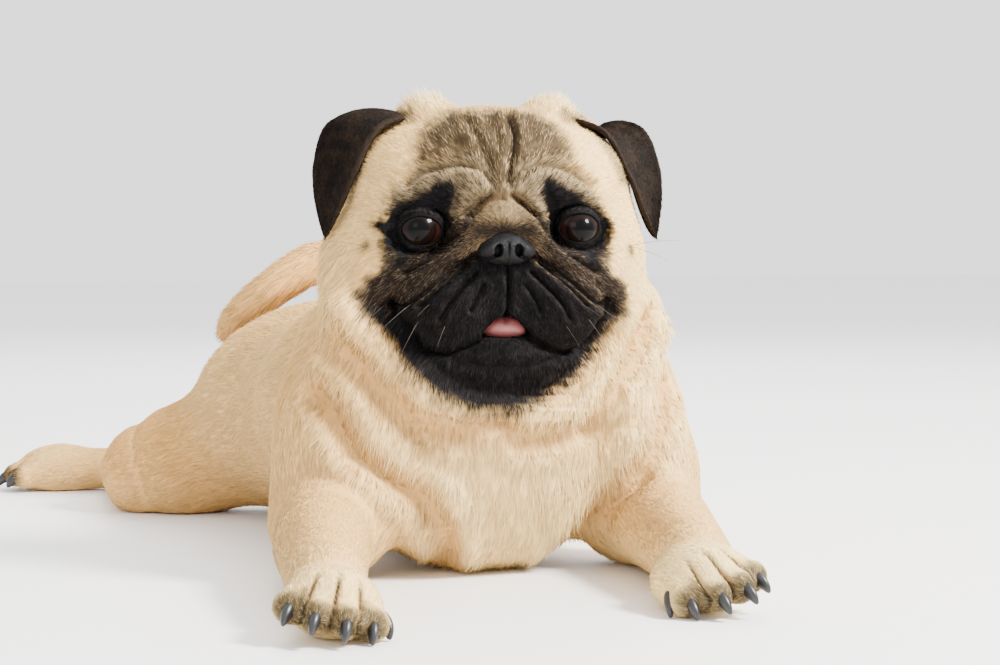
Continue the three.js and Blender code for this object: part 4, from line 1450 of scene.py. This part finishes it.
roots = blended(skin_at)
root_normals = unit(blended(skin_normals))
root_ears = blended(on_ears)
root_shade_in_folds = blended(skin_shade_in_folds)
root_shares = {name: blended(share) for name, share in skin_shares.items()}
root_lengths = blended(vertex_length)
root_labels = label[picked[:, 0]]
root_lies = lie(roots, root_normals, root_shares, root_ears)
main, odd, many = markings(roots, root_shade_in_folds, root_shares, root_ears)
take_odd = generator.random(total) < many
root_colours = np.where(take_odd[:, None], odd, main) * generator.normal(1, HAIR_UNEVEN, (total, 1))
on_legs = sum(share for name, share in root_shares.items() if name.startswith(tuple(LIMBS)))
root_lifts = HAIR_LIFT + (LEG_LIFT - HAIR_LIFT) * on_legs + CREST_LIFT * crest_share(to_head(roots))
coat_finish = coat_material("coat_hair", 45, 500, 0.12, 0.6, 0)

for index, name in enumerate(names):
    halves = {"right": roots[:, 0] < 0, "left": roots[:, 0] >= 0} if name in ("trunk", "head") else {"": True}
    for half_name, wanted in halves.items():
        mine = np.flatnonzero((root_labels == index) & wanted)
        mine = mine[np.argsort(roots[mine, 1], kind="stable")]
        parts = max(1, math.ceil(len(mine) / MAX_TUFTS))
        for number, chunk in enumerate(np.array_split(mine, parts)):
            title = "_".join(filter(None, ("coat", name, half_name, str(number + 1) if parts > 1 else "")))
            piece = grow(
                title, roots[chunk], root_normals[chunk], root_lies[chunk], root_lengths[chunk],
                root_lifts[chunk], root_colours[chunk], unwrap(roots[chunk], *UNROLL[name]), generator,
            )
            piece.data.materials.append(coat_finish)
            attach(piece, "root")

# Whiskers
# A few stiff dark hairs on each flew, over the eyes and from the mole on each cheek.
# Each is a thin curved spine that tapers to its tip, rooted in the skin.
WHISKERS = [
    # root in the head's frame, direction, length
    ((64, -40, -4), (0.95, -0.1, 0.25), 30),
    ((64, -40, -4), (0.9, -0.2, -0.2), 22),
    ((45, -55, -32), (0.8, -0.5, -0.5), 26),
    ((40, -58, -38), (0.6, -0.6, -0.8), 24),
    ((34, -60, -30), (0.5, -0.8, -0.2), 20),
    ((28, -62, -40), (0.4, -0.8, -0.6), 18),
    ((58, -46, -34), (0.9, -0.3, -0.7), 30),
    ((30, -48, 22), (0.1, -0.7, 0.7), 14),
]
WHISKER_ROOT, WHISKER_TIP = 0.17, 0.04
WHISKER_STEPS, WHISKER_AROUND = 10, 5

WHISKER_SAG, WHISKER_SUNK = 0.14, 3

whisker_points, whisker_faces = [], []
for root, direction, length in WHISKERS:
    for side in SIDES:
        steps = np.linspace(0, 1, WHISKER_STEPS)[:, None]
        heading = unit(on_side(direction, side))
        line = on_side(root, side) + heading * steps * length
        line = line + np.array((0, 0, -WHISKER_SAG * length)) * steps ** 2 - heading * WHISKER_SUNK
        along = unit(np.gradient(line, axis=0))
        first = unit(np.cross(along, (0.1, 0.3, 1)))
        second = np.cross(along, first)
        angle = np.linspace(0, 2 * np.pi, WHISKER_AROUND, endpoint=False)
        radius = WHISKER_ROOT + (WHISKER_TIP - WHISKER_ROOT) * steps
        rings = line[:, None] + radius[:, None] * (
            first[:, None] * np.cos(angle)[:, None] + second[:, None] * np.sin(angle)[:, None]
        )
        size = WHISKER_STEPS * WHISKER_AROUND + 2
        whisker_faces.append(lathe_faces(WHISKER_STEPS, WHISKER_AROUND) + size * len(whisker_points))
        whisker_points.append(np.concatenate([rings.reshape(-1, 3), line[:1], line[-1:]]))
whisker_points = from_head(np.concatenate(whisker_points))
whiskers = mesh_object("whiskers", whisker_points, np.concatenate(whisker_faces))
outward(whiskers)
whisker_tones = [(0.010, 0.008, 0.007), (0.080, 0.060, 0.045)]
whiskers.data.materials.append(mottled("whisker", 60, whisker_tones, {"Roughness": 0.4})[0])
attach(whiskers, "root")

# Floor and light
# A plain pale floor, a large soft light from the upper right, weaker ones from the left and from behind,
# and a pale sky.
FLOOR_HALF = 6000
LIGHTS = [
    # name, place, size, power, colour
    ("key", (1100, -1000, 1500), 520, 170, (1.0, 0.96, 0.90)),
    ("fill", (-1500, -1300, 1100), 900, 8, (1.0, 0.96, 0.94)),
    ("back", (500, 1500, 1500), 1400, 40, (1.0, 0.98, 0.95)),
]
LIGHT_TARGET = (0, 60, 100)
floor_corners = np.array([(-1, -1, 0), (1, -1, 0), (1, 1, 0), (-1, 1, 0)]) * FLOOR_HALF
floor = mesh_object("floor", floor_corners, [(0, 1, 2, 3)])
floor_material, tree, shader = material("pale_floor")
feed(tree, shader, {"Base Color": (0.92, 0.915, 0.91, 1), "Roughness": 0.45})
floor.data.materials.append(floor_material)
for name, at, size, power, colour in LIGHTS:
    lamp = bpy.data.objects.new(name, bpy.data.lights.new(name, "AREA"))
    lamp.data.size = size * MM
    lamp.data.energy = power
    lamp.data.color = colour
    lamp.location = Vector(at) * MM
    lamp.rotation_euler = (Vector(LIGHT_TARGET) * MM - lamp.location).to_track_quat("-Z", "Y").to_euler()
    bpy.context.scene.collection.objects.link(lamp)
world = bpy.data.worlds.new("studio")
bpy.context.scene.world = world
world.use_nodes = True
sky = world.node_tree.nodes["Background"]
feed(world.node_tree, sky, {"Color": (0.93, 0.935, 0.95, 1), "Strength": 2.1})
